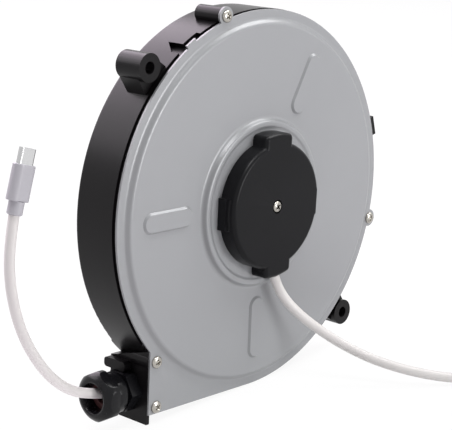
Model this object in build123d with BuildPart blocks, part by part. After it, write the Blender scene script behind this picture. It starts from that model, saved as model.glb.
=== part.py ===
# Retractable charging cable: a spring driven reel whose charging lead ends in an oval plug.
# Its supply lead, which comes out of the hub, ends in a flat plug.
# Millimetres. The origin is on the reel's axis, in the plane of the casing's front rim.
# The reel turns about Y, its front looks along -Y and +Z is up. It stands on its rim and on
# the foot of its end wall, so that it leans a little to the left.
from build123d import *
import os
from math import acos, atan2, cos, degrees, hypot, pi, radians, sin, sqrt, tan

os.makedirs("parts", exist_ok=True)

# Casing
casing_radius = 88.0
casing_depth = 24.6
side_wall = 2.4
back_wall = 2.4
back_edge_radius = 1.6
rim_rebate_width = 1.8
rim_rebate_depth = 1.2
end_wall_reach = 65.6
end_wall = 2.6
foot_thickness = 1.8
foot_drop = 4.4
shoulder_fall = 7.0
ledge_thickness = 2.0
end_block_size = (13.0, 4.4, 4.2)
end_block_depth = 17.0
end_block_rise = 10.9
end_block_radius = 1.6

# Mounting lugs on the casing
lug_standoff = 8.75
lug_angles = (136.9, -43.1)
lug_radius = 6.25
lug_hole_radius = 2.7
lug_length = 14.2
lug_web_setback = 3.0
lug_web_radius = 5.9
lug_root_radius = 9.0
lug_root_inset = 6.0

# Hook at the right and notch at the upper left of the rim
hook_angles = (14.5, 20.4)
hook_reach = 3.3
hook_width = 3.0
notch_angles = (116.5, 122.4, 126.3)
notch_slot_depth = 4.2
notch_pocket_depths = (13.0, 6.0)

# Screws that hold the cover
screw_head_radius = 2.8
screw_head_height = 1.5
screw_head_round = 0.7
screw_shank_radius = 1.4
screw_length = 9.0
screw_clearance = 0.1
recess_length = 3.2
recess_width = 0.8
recess_depth = 0.9
rim_screw_standoffs = (1.6, 0.3)
rim_screw_angles = (106.9, -12.8)
rim_boss_radius = 3.9
rim_boss_length = 14.5
corner_screws_inset = (4.0, 4.6)
corner_screws_rise = (24.25, 3.4)
corner_boss_radii = (4.7, 3.4)

# Pressed cover
cover_setback = 0.2
sheet = 1.0
disc_inset = 6.4
disc_step_width = 2.0
disc_step_round = 1.8
disc_rise = 2.0
boss_foot_radius = 39.2
boss_foot_round = 1.8
boss_crest_radius = 36.8
boss_crest_width = 2.0
boss_crest_round = 1.2
boss_inner_round = 0.4
boss_rise = 2.5
hub_land_radius = 34.6
hub_land_round = 1.6
hub_land_rise = 2.0
hub_opening_radius = 24.0
ear_radius = 4.2
tab_angles = (120.2, 124.0)
tab_reach = 1.3
rib_length = 30.0
rib_width = 9.5
rib_rise = 0.9
rib_slope = 45.0
rib_centre_radius = 59.5
rib_angles = (180.0, 62.0, -89.0)

# Hub cap
cap_radius = 29.3
cap_height = 8.6
cap_wall = 2.0
cap_edge_radius = 2.0
top_lug_width = 18.2
bottom_lug_width = 17.6
tall_lug_reach = 33.6
tall_lug_round = 2.3
flat_lug_width = 15.0
flat_lug_reach = 29.8
low_lug_width = 14.5
low_lug_reach = 30.4
low_lug_height = 4.6
top_lug_shift = -0.1
bottom_lug_shift = 3.0
side_lug_shift = -0.8
cap_boss_radius = 5.5
cap_boss_length = 2.2
cap_recess_radius = 3.2
cap_recess_depth = 0.9
hub_screw_head_radius = 2.6

# Cord and its gland
cord_diameter = 4.6
gland_rise = 9.5
gland_depth = 12.4
gland_flange_across = 16.8
gland_flange = 6.2
gland_spigot_radius = 6.0
gland_neck_radius = 7.5
gland_neck_length = 6.2
gland_bore_radius = 4.2
gland_fit = 0.1
nut_across = 21.4
nut_radius = 11.0
nut_length = 15.2
nut_straight = 5.6
nut_lip_radius = 9.4
nut_mouth_radius = 6.9
nut_throat_radius = 5.2
nut_lip_round = 0.9
seal_length = 3.0
seal_bore_radius = 3.6

# Shaft, fixed to the back wall
seat_radius = 11.0
seat_height = 2.0
tail_across = 9.0
tail_depth = 2.4
journal_radius = 5.0
arbor_radius = 7.0
neck_radius = 3.5
shaft_screw_radius = 1.9
shaft_screw_head_radius = 3.8
shaft_screw_head = 1.9
shaft_screw_reach = 12.0
seat_clearance = 0.05
running_clearance = 0.05
washer_radius = 9.5
washer_thickness = 0.5
axial_play = 0.1
ring_radius = 7.0
ring_thickness = 0.8
ring_groove = 0.6
ring_gap_angle = 50.0

# Spool, its front flange and its bushes
spool_flange = 2.5
spool_gap = 0.3
drum_radius = 56.0
drum_wall = 2.6
front_flange_clearance = 7.6
front_flange = 1.6
front_flange_depth = 1.0
locating_lip = 2.0
locating_clearance = 0.2
bush_radius = 8.0
bush_length = 4.0
bush_hub_wall = 2.4
tooth_count = 24
tooth_clearance = 3.6
tooth_depth = 3.0

# Mainspring
spring_strip = 0.5
spring_turns = 6
spring_gap = 0.3
spring_side_gap = 0.4
spring_hook = 2.4

# Lead on the drum
pack_layers = 3
pack_gap = 0.2
lead_gap = 0.4

# Pawl, which blocks the way in when it drops into the teeth
pawl_standoff = 1.44
pawl_angle = -117.36
pawl_nose_depth = 1.4
pawl_nose_lag = 1.1
pawl_nose_radius = 0.9
pawl_hub_radius = 3.0
pawl_swing = 10.5
pawl_thickness = 2.3
pawl_pin_radius = 1.5
pawl_boss_radius = 3.2
pawl_play = 0.2
pawl_seat_angle = -128.6
pawl_wire = 0.8
pawl_wire_gap = 0.3
pawl_wire_share = 0.6

# Rotary contact in the hub
board_radius = 21.0
board_bore_radius = 9.0
board_thickness = 1.6
track_radii = (11.5, 14.0, 16.5, 19.0)
track_width = 1.5
track_thickness = 0.2
brush_gap = 0.1
brush_radius = 0.7
brush_length = 3.2
brush_stand_out = 0.8
brush_block_radius = 20.6
brush_block_depth = 4.2
brush_angle_step = 90.0

# Oval plug of the charging lead
collar_radius = 3.3
collar_length = 5.7
lead_mould_size = (10.5, 6.0, 15.0)
lead_mould_round = 0.5
lead_shell_size = (8.34, 2.56, 6.65)
lead_shell_wall = 0.3
lead_slot_size = (6.7, 0.8, 5.6)

# Flat plug of the supply lead
supply_mould_size = (15.8, 8.0, 24.0)
supply_mould_radius = 1.8
supply_shell_size = (12.0, 4.5, 18.75)
supply_shell_wall = 0.3
supply_insert_height = 1.9
supply_window = (2.4, 2.1)
supply_window_centre = (2.6, 7.0)

# Inlet of the supply lead, in the bottom lug of the hub cap
inlet_shift = 5.57
inlet_tilt = 18.5
inlet_depth = 5.2
grommet_wall = 0.5
grommet_length = 5.4
cord_clearance = 0.2

# Coil of the supply lead
coil_radius = 26.0
coil_turns = 3
coil_round = 1.4
nest_angle = 60.0
tie_thickness = 0.8
tie_clearance = 0.1
tie_angle = 18.0
tie_place = 80.0

# Routes of the cords: X and height over the floor, the charging lead all at the gland's depth
output_points = (
    (-65.6, 14.0),
    (-78.1, 14.4),
    (-90.6, 17.3),
    (-102.5, 21.8),
    (-113.4, 30.2),
    (-122.6, 42.2),
    (-129.6, 56.0),
    (-133.6, 71.0),
    (-134.7, 84.0),
    (-133.4, 96.2),
    (-131.0, 106.3),
)
plug_lean = 17.8

# X, Y and share of the fall from the hub to the floor
input_drop = 24.1
lying_height = 2.9
input_points = (
    (0.7, -8.4, 0.0),
    (3.6, -8.4, 0.179),
    (7.6, -10.2, 0.343),
    (14.2, -14.4, 0.497),
    (21.8, -21.2, 0.638),
    (29.6, -31.0, 0.769),
    (36.8, -45.0, 0.869),
    (48.0, -60.5, 0.949),
    (61.5, -74.0, 1.0),
    (77.5, -88.5, 1.0),
    (91.5, -104.3, 0.995),
)

# Along and across from where the coil lets go of the cord, and height over the floor
tail_points = (
    (0.0, 0.0, 7.2),
    (12.0, 0.3, 6.8),
    (24.0, 1.4, 4.9),
    (34.6, 3.0, 4.0),
)
bend_share = 0.45

# Sizes that follow from the above
floor_height = -casing_radius
foot_corner = (end_wall_reach - foot_thickness, casing_radius + foot_drop)
lean = acos(casing_radius / hypot(*foot_corner)) - atan2(*foot_corner)
cavity_radius = casing_radius - side_wall
cavity_reach = end_wall_reach - end_wall
corner_top = sqrt(casing_radius**2 - end_wall_reach**2)
ledge_drop = corner_top + shoulder_fall + ledge_thickness
ledge_reach = sqrt(cavity_radius**2 - ledge_drop**2)
inside = back_wall - casing_depth
lug_circle_radius = casing_radius + lug_standoff
hook_radius = casing_radius + hook_reach
disc_radius = casing_radius - disc_inset
tab_radius = casing_radius + tab_reach
front_flange_radius = cavity_radius - front_flange_clearance
tooth_tip_radius = cavity_radius - tooth_clearance
gland_drop = casing_radius - gland_rise
cord_radius = cord_diameter / 2
disc_front = sheet + disc_rise
land_front = disc_front + hub_land_rise
cap_face = land_front + cap_height
cap_inside = cap_face - cap_wall
shaft_front = cap_inside - cap_boss_length
seat_top = inside + seat_height
washer_front = seat_top + washer_thickness
spool_back = washer_front + spool_gap
flange_front = spool_back + spool_flange
front_flange_front = -front_flange_depth
front_flange_back = front_flange_front - front_flange
drum_bore_radius = drum_radius - drum_wall
bush_bore_radius = journal_radius + running_clearance
rear_bush_back = washer_front + axial_play
rear_bush_front = rear_bush_back + bush_length
front_bush_front = front_flange_front + axial_play
front_bush_back = front_bush_front - bush_length
arbor_back = rear_bush_front + axial_play
arbor_front = front_bush_back - axial_play
ring_back = front_bush_front + axial_play
board_front = front_flange_front + board_thickness
track_front = board_front + track_thickness
brush_tip = track_front + brush_gap
brush_block_back = brush_tip + brush_stand_out
pawl_back = spool_back + axial_play
pawl_front = pawl_back + pawl_thickness
pack_rows = int((front_flange_back - flange_front) / cord_diameter)
pack_middle = (front_flange_back + flange_front) / 2
pack_inner_radius = drum_radius + pack_gap
pack_outer_radius = pack_inner_radius + pack_layers * cord_diameter
lead_radius = pack_outer_radius + lead_gap + cord_radius
coil_lift = tie_thickness + tie_clearance
corner_places = [
    (-end_wall_reach + inset, rise - casing_radius)
    for inset, rise in zip(corner_screws_inset, corner_screws_rise)
]

# Planes of the reel: its face, a section through its axis and the outlet in its end wall
reel = Plane(origin=(0, 0, 0), x_dir=(cos(lean), 0, -sin(lean)), z_dir=(0, -1, 0))
section = Plane(origin=(0, 0, 0), x_dir=reel.x_dir, z_dir=-reel.y_dir)
reel_axis = Axis((0, 0, 0), reel.z_dir)
outlet = Plane(
    origin=reel.from_local_coords((-end_wall_reach, -gland_drop, -gland_depth)),
    x_dir=reel.z_dir,
    z_dir=-reel.x_dir,
)
outlet_section = Plane(origin=outlet.origin, x_dir=outlet.x_dir, z_dir=-outlet.y_dir)
outlet_axis = Axis(outlet.origin, outlet.z_dir)


def polar(radius, angle):
    """Point on the reel's face at a radius, and at an angle in degrees from the right."""
    return (radius * cos(radians(angle)), radius * sin(radians(angle)))


rim_places = [
    polar(casing_radius + standoff, angle)
    for standoff, angle in zip(rim_screw_standoffs, rim_screw_angles)
]
screw_places = rim_places + corner_places
lug_places = [polar(lug_circle_radius, angle) for angle in lug_angles]
pawl_pivot = polar(cavity_radius + pawl_standoff, pawl_angle)


def casing_outline(radius, reach, mode=Mode.ADD):
    """Draw the round outline with its square corner at the lower left."""
    corner_height = -sqrt(radius**2 - reach**2)
    Circle(radius, mode=mode)
    Polygon((0, 0), (0, -radius), (-reach, -radius), (-reach, corner_height), align=None, mode=mode)


def turned(points, plane=section, axis=reel_axis, mode=Mode.ADD):
    """Turn a closed outline of radius and depth about an axis."""
    with BuildSketch(plane) as outline:
        with BuildLine():
            Polyline(*points, close=True)
        make_face()
    revolve(outline.sketch, axis=axis, mode=mode)


def sleeve(inner, outer, back, front, mode=Mode.ADD):
    """Add a plain ring round the reel's axis."""
    with BuildSketch(reel.offset(back)) as ring:
        Circle(outer)
        if inner > 0:
            Circle(inner, mode=Mode.SUBTRACT)
    extrude(ring.sketch, amount=front - back, mode=mode)


def cross_recess(head):
    """Cut a cross recess into a screw head whose top is on a plane."""
    with BuildSketch(head) as cross:
        Rectangle(recess_length, recess_width)
        Rectangle(recess_width, recess_length)
    extrude(cross.sketch, amount=-recess_depth, mode=Mode.SUBTRACT)


def bend_radii(points):
    """Radius of the arc at each corner of a cord's route, as large as its two runs allow."""
    radii = []
    for before, corner, after in zip(points, points[1:], points[2:]):
        turn = radians((corner - before).get_angle(after - corner))
        shorter = min((corner - before).length, (after - corner).length)
        radii.append(bend_share * shorter / tan(turn / 2))
    return radii


def cord_along(points):
    """Add a cord along straight runs joined by tangent arcs, and return the path's length."""
    with BuildLine():
        path = FilletPolyline(*points, radius=bend_radii(points))
    with BuildSketch(Plane(origin=path @ 0, z_dir=path % 0)) as end:
        Circle(cord_radius)
    sweep(end.sketch, path=path)
    return path.length


def cord_report(name, cord, points, length):
    """Print a cord's bends, and its volume against its section times its length."""
    radii = ", ".join(f"{radius:.0f}" for radius in bend_radii(points))
    ratio = cord.part.volume / (pi * cord_radius**2 * length)
    print(f"{name}: length {length:.1f}, radii {radii}, volume ratio {ratio:.4f}")


# Rear housing, moulded in one piece
with BuildPart() as rear_housing:
    with BuildSketch(reel.offset(-casing_depth)):
        casing_outline(casing_radius, end_wall_reach)
    extrude(amount=casing_depth)
    fillet(rear_housing.edges().group_by(Axis.Y)[-1], back_edge_radius)
    with BuildSketch(reel.offset(-rim_rebate_width)):
        Circle(casing_radius + foot_drop)
        casing_outline(casing_radius - rim_rebate_depth, end_wall_reach, mode=Mode.SUBTRACT)
        with Locations((-end_wall_reach, -casing_radius)):
            Rectangle(2 * end_wall, 2 * casing_radius, mode=Mode.SUBTRACT)
    extrude(amount=rim_rebate_width, mode=Mode.SUBTRACT)
    for angle in lug_angles:
        with BuildSketch(reel.offset(-lug_length)) as lug_web:
            with Locations(polar(lug_circle_radius, angle)):
                Circle(lug_web_radius)
            with Locations(polar(casing_radius - lug_root_inset, angle)):
                Circle(lug_root_radius)
            make_hull(lug_web.edges())
        extrude(amount=lug_length - lug_web_setback)
    with BuildSketch(reel.offset(-lug_length)):
        with Locations(*lug_places):
            Circle(lug_radius)
    extrude(amount=lug_length)
    with BuildSketch(reel.offset(-hook_width)):
        Polygon(
            polar(cavity_radius, hook_angles[0]),
            polar(hook_radius, hook_angles[0]),
            polar(hook_radius, hook_angles[1]),
            polar(cavity_radius, hook_angles[1]),
            align=None,
        )
    extrude(amount=hook_width)
    with BuildSketch(reel.offset(inside)):
        Circle(cavity_radius)
        Polygon(
            (0, 0),
            (0, -cavity_radius),
            (-cavity_reach, -cavity_radius),
            (-cavity_reach, -ledge_drop),
            (-ledge_reach, -ledge_drop),
            align=None,
        )
    extrude(amount=-inside, mode=Mode.SUBTRACT)
    with BuildSketch(reel.offset(-casing_depth)):
        with Locations((-end_wall_reach, -casing_radius - foot_drop)):
            Rectangle(foot_thickness, side_wall + foot_drop, align=(Align.MIN, Align.MIN))
    extrude(amount=casing_depth)
    with BuildSketch(reel.offset(-rim_boss_length)):
        with Locations(*rim_places):
            Circle(rim_boss_radius)
    extrude(amount=rim_boss_length)
    with BuildSketch(reel.offset(inside)):
        for place, radius in zip(corner_places, corner_boss_radii):
            with Locations(place):
                Circle(radius)
    extrude(amount=-inside)
    # Shoulder of the square corner, which falls away to the back outside the round wall
    shoulder = Plane(
        origin=reel.from_local_coords((-casing_radius, 0, 0)),
        x_dir=-reel.z_dir,
        z_dir=reel.x_dir,
    )
    with BuildPart(mode=Mode.PRIVATE) as shoulder_cut:
        with BuildSketch(shoulder):
            Polygon(
                (0, 0),
                (0, -corner_top),
                (casing_depth, -corner_top - shoulder_fall),
                (casing_depth, 0),
                align=None,
            )
        extrude(amount=casing_radius)
        sleeve(0, casing_radius, -casing_depth, 0, mode=Mode.SUBTRACT)
    add(shoulder_cut.part, mode=Mode.SUBTRACT)
    with BuildSketch(reel):
        with Locations(*screw_places):
            Circle(screw_shank_radius)
    extrude(amount=-screw_length, mode=Mode.SUBTRACT)
    with BuildSketch(reel):
        with Locations(*lug_places):
            Circle(lug_hole_radius)
    extrude(amount=-lug_length, mode=Mode.SUBTRACT)
    with BuildSketch(outlet):
        Circle(gland_spigot_radius + gland_fit)
    extrude(amount=-end_wall, mode=Mode.SUBTRACT)
    # Rounded block on the end wall, over the gland
    end_block = Plane(
        origin=reel.from_local_coords((-end_wall_reach, end_block_rise - gland_drop, -end_block_depth)),
        x_dir=reel.z_dir,
        z_dir=-reel.x_dir,
    )
    with BuildSketch(end_block):
        RectangleRounded(end_block_size[0], end_block_size[1], end_block_radius)
    extrude(amount=end_block_size[2])
    # Notch through the rim, with a pocket that runs back from it
    notch_middle = notch_angles[1]
    notch_steps = [casing_radius * radians(angle - notch_middle) for angle in notch_angles]
    notch = Plane(
        origin=reel.from_local_coords((*polar(casing_radius + side_wall, notch_middle), 0)),
        x_dir=reel.from_local_coords((*polar(1, notch_middle + 90), 0)),
        z_dir=-reel.from_local_coords((*polar(1, notch_middle), 0)),
    )
    depth_sign = 1 if notch.y_dir.Y > 0 else -1
    with BuildSketch(notch):
        Polygon(
            (notch_steps[0], -depth_sign * side_wall),
            (notch_steps[2], -depth_sign * side_wall),
            (notch_steps[2], depth_sign * notch_pocket_depths[1]),
            (notch_steps[1], depth_sign * notch_pocket_depths[0]),
            (notch_steps[1], depth_sign * notch_slot_depth),
            (notch_steps[0], depth_sign * notch_slot_depth),
            align=None,
        )
    extrude(amount=2 * side_wall, mode=Mode.SUBTRACT)
    # Seat of the shaft, with its square socket and the countersunk hole of its screw
    sleeve(0, seat_radius, inside, seat_top)
    with BuildSketch(reel.offset(seat_top - tail_depth)):
        Rectangle(tail_across + 2 * seat_clearance, tail_across + 2 * seat_clearance)
    extrude(amount=tail_depth, mode=Mode.SUBTRACT)
    sleeve(0, shaft_screw_radius + screw_clearance, -casing_depth, seat_top, mode=Mode.SUBTRACT)
    turned(
        (
            (0, -casing_depth),
            (shaft_screw_head_radius + screw_clearance, -casing_depth),
            (shaft_screw_radius + screw_clearance, -casing_depth + shaft_screw_head),
            (0, -casing_depth + shaft_screw_head),
        ),
        mode=Mode.SUBTRACT,
    )
    # Boss that carries the pawl's pin
    with BuildSketch(reel.offset(inside)):
        with Locations(pawl_pivot):
            Circle(pawl_boss_radius)
    extrude(amount=pawl_back - pawl_play - inside)
    with BuildSketch(reel.offset(inside)):
        with Locations(pawl_pivot):
            Circle(pawl_pin_radius)
    extrude(amount=pawl_back - inside, mode=Mode.SUBTRACT)
rear_housing.part.label = "rear_housing"
export_step(rear_housing.part, "parts/rear_housing.step")

# Pressed cover: a flat rim, a raised disc with ribs, and a raised boss round the hub
with BuildPart() as front_cover:
    cover_radius = casing_radius - cover_setback
    rim_inner_radius = disc_radius + disc_step_width
    with BuildSketch(reel):
        casing_outline(cover_radius, end_wall_reach - cover_setback)
        with Locations(*rim_places):
            Circle(ear_radius)
        Polygon(
            polar(disc_radius, tab_angles[0]),
            polar(tab_radius, tab_angles[0]),
            polar(tab_radius, tab_angles[1]),
            polar(disc_radius, tab_angles[1]),
            align=None,
        )
        Circle(rim_inner_radius, mode=Mode.SUBTRACT)
    extrude(amount=sheet)
    crest = disc_front + boss_rise
    profile = (
        (rim_inner_radius + sheet, 0),
        (rim_inner_radius + sheet, sheet),
        (rim_inner_radius, sheet),
        (disc_radius, disc_front),
        (boss_foot_radius, disc_front),
        (boss_crest_radius + boss_crest_width / 2, crest),
        (boss_crest_radius - boss_crest_width / 2, crest),
        (hub_land_radius, land_front),
        (hub_opening_radius, land_front),
        (hub_opening_radius, land_front - sheet),
        (hub_land_radius + sheet / 2, land_front - sheet),
        (boss_crest_radius - boss_crest_width / 4, crest - sheet),
        (boss_crest_radius + boss_crest_width / 4, crest - sheet),
        (boss_foot_radius - sheet / 2, disc_front - sheet),
        (disc_radius - sheet / 2, disc_front - sheet),
        (rim_inner_radius - sheet / 2, 0),
    )
    front_bends = [boss_foot_round, boss_crest_round, boss_crest_round, hub_land_round]
    back_bends = [hub_land_round, boss_inner_round, boss_inner_round, boss_foot_round]
    step_bends = [disc_step_round, disc_step_round]
    bends = [0, 0] + step_bends + front_bends + [0, 0] + back_bends + step_bends
    with BuildSketch(section):
        with BuildLine():
            FilletPolyline(*profile, radius=bends, close=True)
        make_face()
    revolve(axis=reel_axis)
    for angle in rib_angles:
        with BuildSketch(reel.offset(disc_front)):
            with Locations(Location((*polar(rib_centre_radius, angle), 0), (0, 0, angle))):
                SlotOverall(rib_length, rib_width)
        extrude(amount=rib_rise, taper=rib_slope)
        with BuildSketch(reel.offset(disc_front - sheet)):
            with Locations(Location((*polar(rib_centre_radius, angle), 0), (0, 0, angle))):
                SlotOverall(rib_length - 2 * sheet, rib_width - 2 * sheet)
        extrude(amount=rib_rise, taper=rib_slope, mode=Mode.SUBTRACT)
    with BuildSketch(reel):
        with Locations(*screw_places):
            Circle(screw_shank_radius + screw_clearance)
    extrude(amount=sheet, mode=Mode.SUBTRACT)
front_cover.part.label = "front_cover"
export_step(front_cover.part, "parts/front_cover.step")

# Four pan head screws, shared shape
with BuildPart() as cover_screws:
    for place in screw_places:
        seat = Plane(
            origin=reel.from_local_coords((*place, sheet)),
            x_dir=reel.x_dir,
            z_dir=reel.z_dir,
        )
        with BuildSketch(seat):
            Circle(screw_head_radius)
        extrude(amount=screw_head_height)
        with BuildSketch(seat):
            Circle(screw_shank_radius)
        extrude(amount=-screw_length)
    fillet(cover_screws.edges().group_by(Axis.Y)[0], screw_head_round)
    for place in screw_places:
        cross_recess(
            Plane(
                origin=reel.from_local_coords((*place, sheet + screw_head_height)),
                x_dir=reel.x_dir,
                z_dir=reel.z_dir,
            )
        )
cover_screws.part.label = "cover_screws"
export_step(cover_screws.part, "parts/cover_screws.step")

# Hub cap, which holds the fixed half of the rotary contact and the supply lead
inlet_direction = reel.from_local_coords((sin(radians(inlet_tilt)), -cos(radians(inlet_tilt)), 0))
inlet = Plane(
    origin=reel.from_local_coords((inlet_shift, -tall_lug_reach, cap_face - inlet_depth)),
    x_dir=reel.z_dir,
    z_dir=inlet_direction,
)
with BuildPart() as hub_cap:
    with BuildSketch(reel.offset(land_front)) as cap_outline:
        with Locations((top_lug_shift, 0)):
            Rectangle(top_lug_width, 2 * tall_lug_reach, align=(Align.CENTER, Align.MIN))
        with Locations((bottom_lug_shift, 0)):
            Rectangle(bottom_lug_width, 2 * tall_lug_reach, align=(Align.CENTER, Align.MAX))
        Circle(tall_lug_reach, mode=Mode.INTERSECT)
        outer_corners = cap_outline.vertices().filter_by(lambda corner: abs(corner.Y) > cap_radius)
        fillet(outer_corners, tall_lug_round)
        Circle(cap_radius)
        with Locations((0, side_lug_shift)):
            Rectangle(flat_lug_reach, flat_lug_width, align=(Align.MIN, Align.CENTER))
    extrude(amount=cap_height)
    fillet(hub_cap.edges().group_by(Axis.Y)[0], cap_edge_radius)
    with BuildSketch(reel.offset(land_front)):
        with Locations((0, side_lug_shift)):
            Rectangle(low_lug_reach, low_lug_width, align=(Align.MAX, Align.CENTER))
    extrude(amount=low_lug_height)
    with BuildSketch(inlet):
        Circle(cord_radius + cord_clearance + grommet_wall)
    extrude(amount=grommet_length + cap_wall, both=True, mode=Mode.SUBTRACT)
    sleeve(0, cap_radius - cap_wall, land_front, cap_inside, mode=Mode.SUBTRACT)
    sleeve(0, cap_boss_radius, shaft_front, cap_inside)
    sleeve(0, screw_shank_radius + screw_clearance, shaft_front, cap_face, mode=Mode.SUBTRACT)
    sleeve(0, cap_recess_radius, cap_face - cap_recess_depth, cap_face, mode=Mode.SUBTRACT)
hub_cap.part.label = "hub_cap"
export_step(hub_cap.part, "parts/hub_cap.step")

# Screw through the cap into the shaft
with BuildPart() as hub_screw:
    head_seat = cap_face - cap_recess_depth
    sleeve(0, hub_screw_head_radius, head_seat, head_seat + screw_head_height)
    fillet(hub_screw.edges().group_by(Axis.Y)[0], screw_head_round)
    sleeve(0, screw_shank_radius, head_seat - screw_length, head_seat)
    cross_recess(reel.offset(head_seat + screw_head_height))
hub_screw.part.label = "hub_screw"
export_step(hub_screw.part, "parts/hub_screw.step")

# Grommet that holds the supply lead in the cap
with BuildPart() as inlet_grommet:
    with BuildSketch(inlet):
        Circle(cord_radius + cord_clearance + grommet_wall)
        Circle(cord_radius + cord_clearance, mode=Mode.SUBTRACT)
    extrude(amount=-grommet_length)
inlet_grommet.part.label = "inlet_grommet"
export_step(inlet_grommet.part, "parts/inlet_grommet.step")

# Gland body: hexagonal flange, spigot in the end wall and threaded neck
with BuildPart() as gland_body:
    with BuildSketch(outlet):
        RegularPolygon(gland_flange_across / 2, 6, major_radius=False)
    extrude(amount=gland_flange)
    with BuildSketch(outlet):
        Circle(gland_spigot_radius)
    extrude(amount=-end_wall)
    with BuildSketch(outlet.offset(gland_flange)):
        Circle(gland_neck_radius)
    extrude(amount=gland_neck_length)
    with BuildSketch(outlet.offset(-end_wall)):
        Circle(gland_bore_radius)
    extrude(amount=end_wall + gland_flange + gland_neck_length, mode=Mode.SUBTRACT)
gland_body.part.label = "gland_body"
export_step(gland_body.part, "parts/gland_body.step")

# Gland nut: a domed hexagon with a flared mouth
neck_end = gland_flange + gland_neck_length
nut_end = gland_flange + nut_length
with BuildPart() as gland_nut:
    with BuildSketch(outlet.offset(gland_flange)):
        RegularPolygon(nut_across / 2, 6, major_radius=False)
    extrude(amount=nut_length)
    with BuildSketch(outlet_section):
        with BuildLine():
            side = Line((nut_radius, gland_flange), (nut_radius, gland_flange + nut_straight))
            dome = TangentArc(side @ 1, (nut_lip_radius, nut_end - nut_lip_round), tangent=side % 1)
            lip = TangentArc(dome @ 1, (nut_lip_radius - nut_lip_round, nut_end), tangent=dome % 1)
            Line(lip @ 1, (0, nut_end))
            Line((0, nut_end), (0, gland_flange))
            Line((0, gland_flange), side @ 0)
        make_face()
    revolve(axis=outlet_axis, mode=Mode.INTERSECT)
    turned(
        (
            (0, gland_flange),
            (gland_neck_radius + gland_fit, gland_flange),
            (gland_neck_radius + gland_fit, neck_end + seal_length),
            (nut_throat_radius, neck_end + seal_length),
            (nut_mouth_radius, nut_end),
            (0, nut_end),
        ),
        plane=outlet_section,
        axis=outlet_axis,
        mode=Mode.SUBTRACT,
    )
gland_nut.part.label = "gland_nut"
export_step(gland_nut.part, "parts/gland_nut.step")

# Soft seal between the neck and the nut
with BuildPart() as gland_seal:
    with BuildSketch(outlet.offset(neck_end)):
        Circle(gland_neck_radius)
        Circle(seal_bore_radius, mode=Mode.SUBTRACT)
    extrude(amount=seal_length)
gland_seal.part.label = "gland_seal"
export_step(gland_seal.part, "parts/gland_seal.step")

# Shaft: square tail, two journals with the spring's arbor between them, and the contact's neck
spring_inner_radius = arbor_radius + spring_gap + spring_strip / 2
with BuildPart() as centre_shaft:
    with BuildSketch(reel.offset(seat_top - tail_depth)):
        Rectangle(tail_across, tail_across)
    extrude(amount=tail_depth)
    sleeve(0, journal_radius, seat_top, brush_block_back)
    sleeve(0, arbor_radius, arbor_back, arbor_front)
    sleeve(0, neck_radius, brush_block_back, shaft_front)
    sleeve(
        journal_radius - ring_groove,
        arbor_radius,
        ring_back,
        ring_back + ring_thickness,
        mode=Mode.SUBTRACT,
    )
    sleeve(0, screw_shank_radius, shaft_front - screw_length, shaft_front, mode=Mode.SUBTRACT)
    tail_back = seat_top - tail_depth
    sleeve(0, shaft_screw_radius, tail_back, tail_back + shaft_screw_reach, mode=Mode.SUBTRACT)
    with BuildSketch(reel.offset(arbor_back)):
        with Locations((spring_inner_radius - spring_hook - spring_gap, spring_gap / 2)):
            Rectangle(2 * spring_hook, spring_strip + spring_gap, align=(Align.MIN, Align.MAX))
    extrude(amount=arbor_front - arbor_back, mode=Mode.SUBTRACT)
centre_shaft.part.label = "centre_shaft"
export_step(centre_shaft.part, "parts/centre_shaft.step")

# Countersunk screw through the back wall into the shaft
with BuildPart() as shaft_screw:
    turned(
        (
            (0, -casing_depth),
            (shaft_screw_head_radius, -casing_depth),
            (shaft_screw_radius, -casing_depth + shaft_screw_head),
            (shaft_screw_radius, -casing_depth + shaft_screw_reach),
            (0, -casing_depth + shaft_screw_reach),
        )
    )
    cross_recess(Plane(origin=(0, casing_depth, 0), x_dir=reel.x_dir, z_dir=-reel.z_dir))
shaft_screw.part.label = "shaft_screw"
export_step(shaft_screw.part, "parts/shaft_screw.step")

# Thrust washer under the spool
with BuildPart() as thrust_washer:
    sleeve(bush_bore_radius, washer_radius, seat_top, washer_front)
thrust_washer.part.label = "thrust_washer"
export_step(thrust_washer.part, "parts/thrust_washer.step")

# Retaining ring in the shaft's groove
with BuildPart() as retaining_ring:
    with BuildSketch(reel.offset(ring_back)):
        Circle(ring_radius)
        Circle(journal_radius - ring_groove, mode=Mode.SUBTRACT)
        Polygon(
            (0, 0),
            polar(2 * ring_radius, 90 - ring_gap_angle / 2),
            polar(2 * ring_radius, 90 + ring_gap_angle / 2),
            align=None,
            mode=Mode.SUBTRACT,
        )
    extrude(amount=ring_thickness)
retaining_ring.part.label = "retaining_ring"
export_step(retaining_ring.part, "parts/retaining_ring.step")

# Spool: rear flange with ratchet teeth, drum and hub
tooth_pitch = 360 / tooth_count
tooth_root_radius = tooth_tip_radius - tooth_depth
spring_outer_radius = drum_bore_radius - spring_gap - spring_strip / 2
with BuildPart() as spool:
    with BuildSketch(reel.offset(spool_back)):
        teeth = []
        for tooth in range(tooth_count):
            start = pawl_seat_angle + tooth * tooth_pitch
            teeth.append(polar(tooth_root_radius, start))
            teeth.append(polar(tooth_tip_radius, start + tooth_pitch))
        Polygon(*teeth, align=None)
        Circle(bush_radius, mode=Mode.SUBTRACT)
    extrude(amount=spool_flange)
    sleeve(drum_bore_radius, drum_radius, flange_front, front_flange_back)
    sleeve(bush_radius, bush_radius + bush_hub_wall, flange_front, rear_bush_front)
    with BuildSketch(reel.offset(flange_front)):
        with Locations((drum_bore_radius - spring_gap, -spring_gap / 2)):
            Rectangle(spring_hook + spring_gap, spring_strip + spring_gap, align=(Align.MIN, Align.MIN))
    extrude(amount=front_flange_back - flange_front, mode=Mode.SUBTRACT)
spool.part.label = "spool"
export_step(spool.part, "parts/spool.step")

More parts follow.
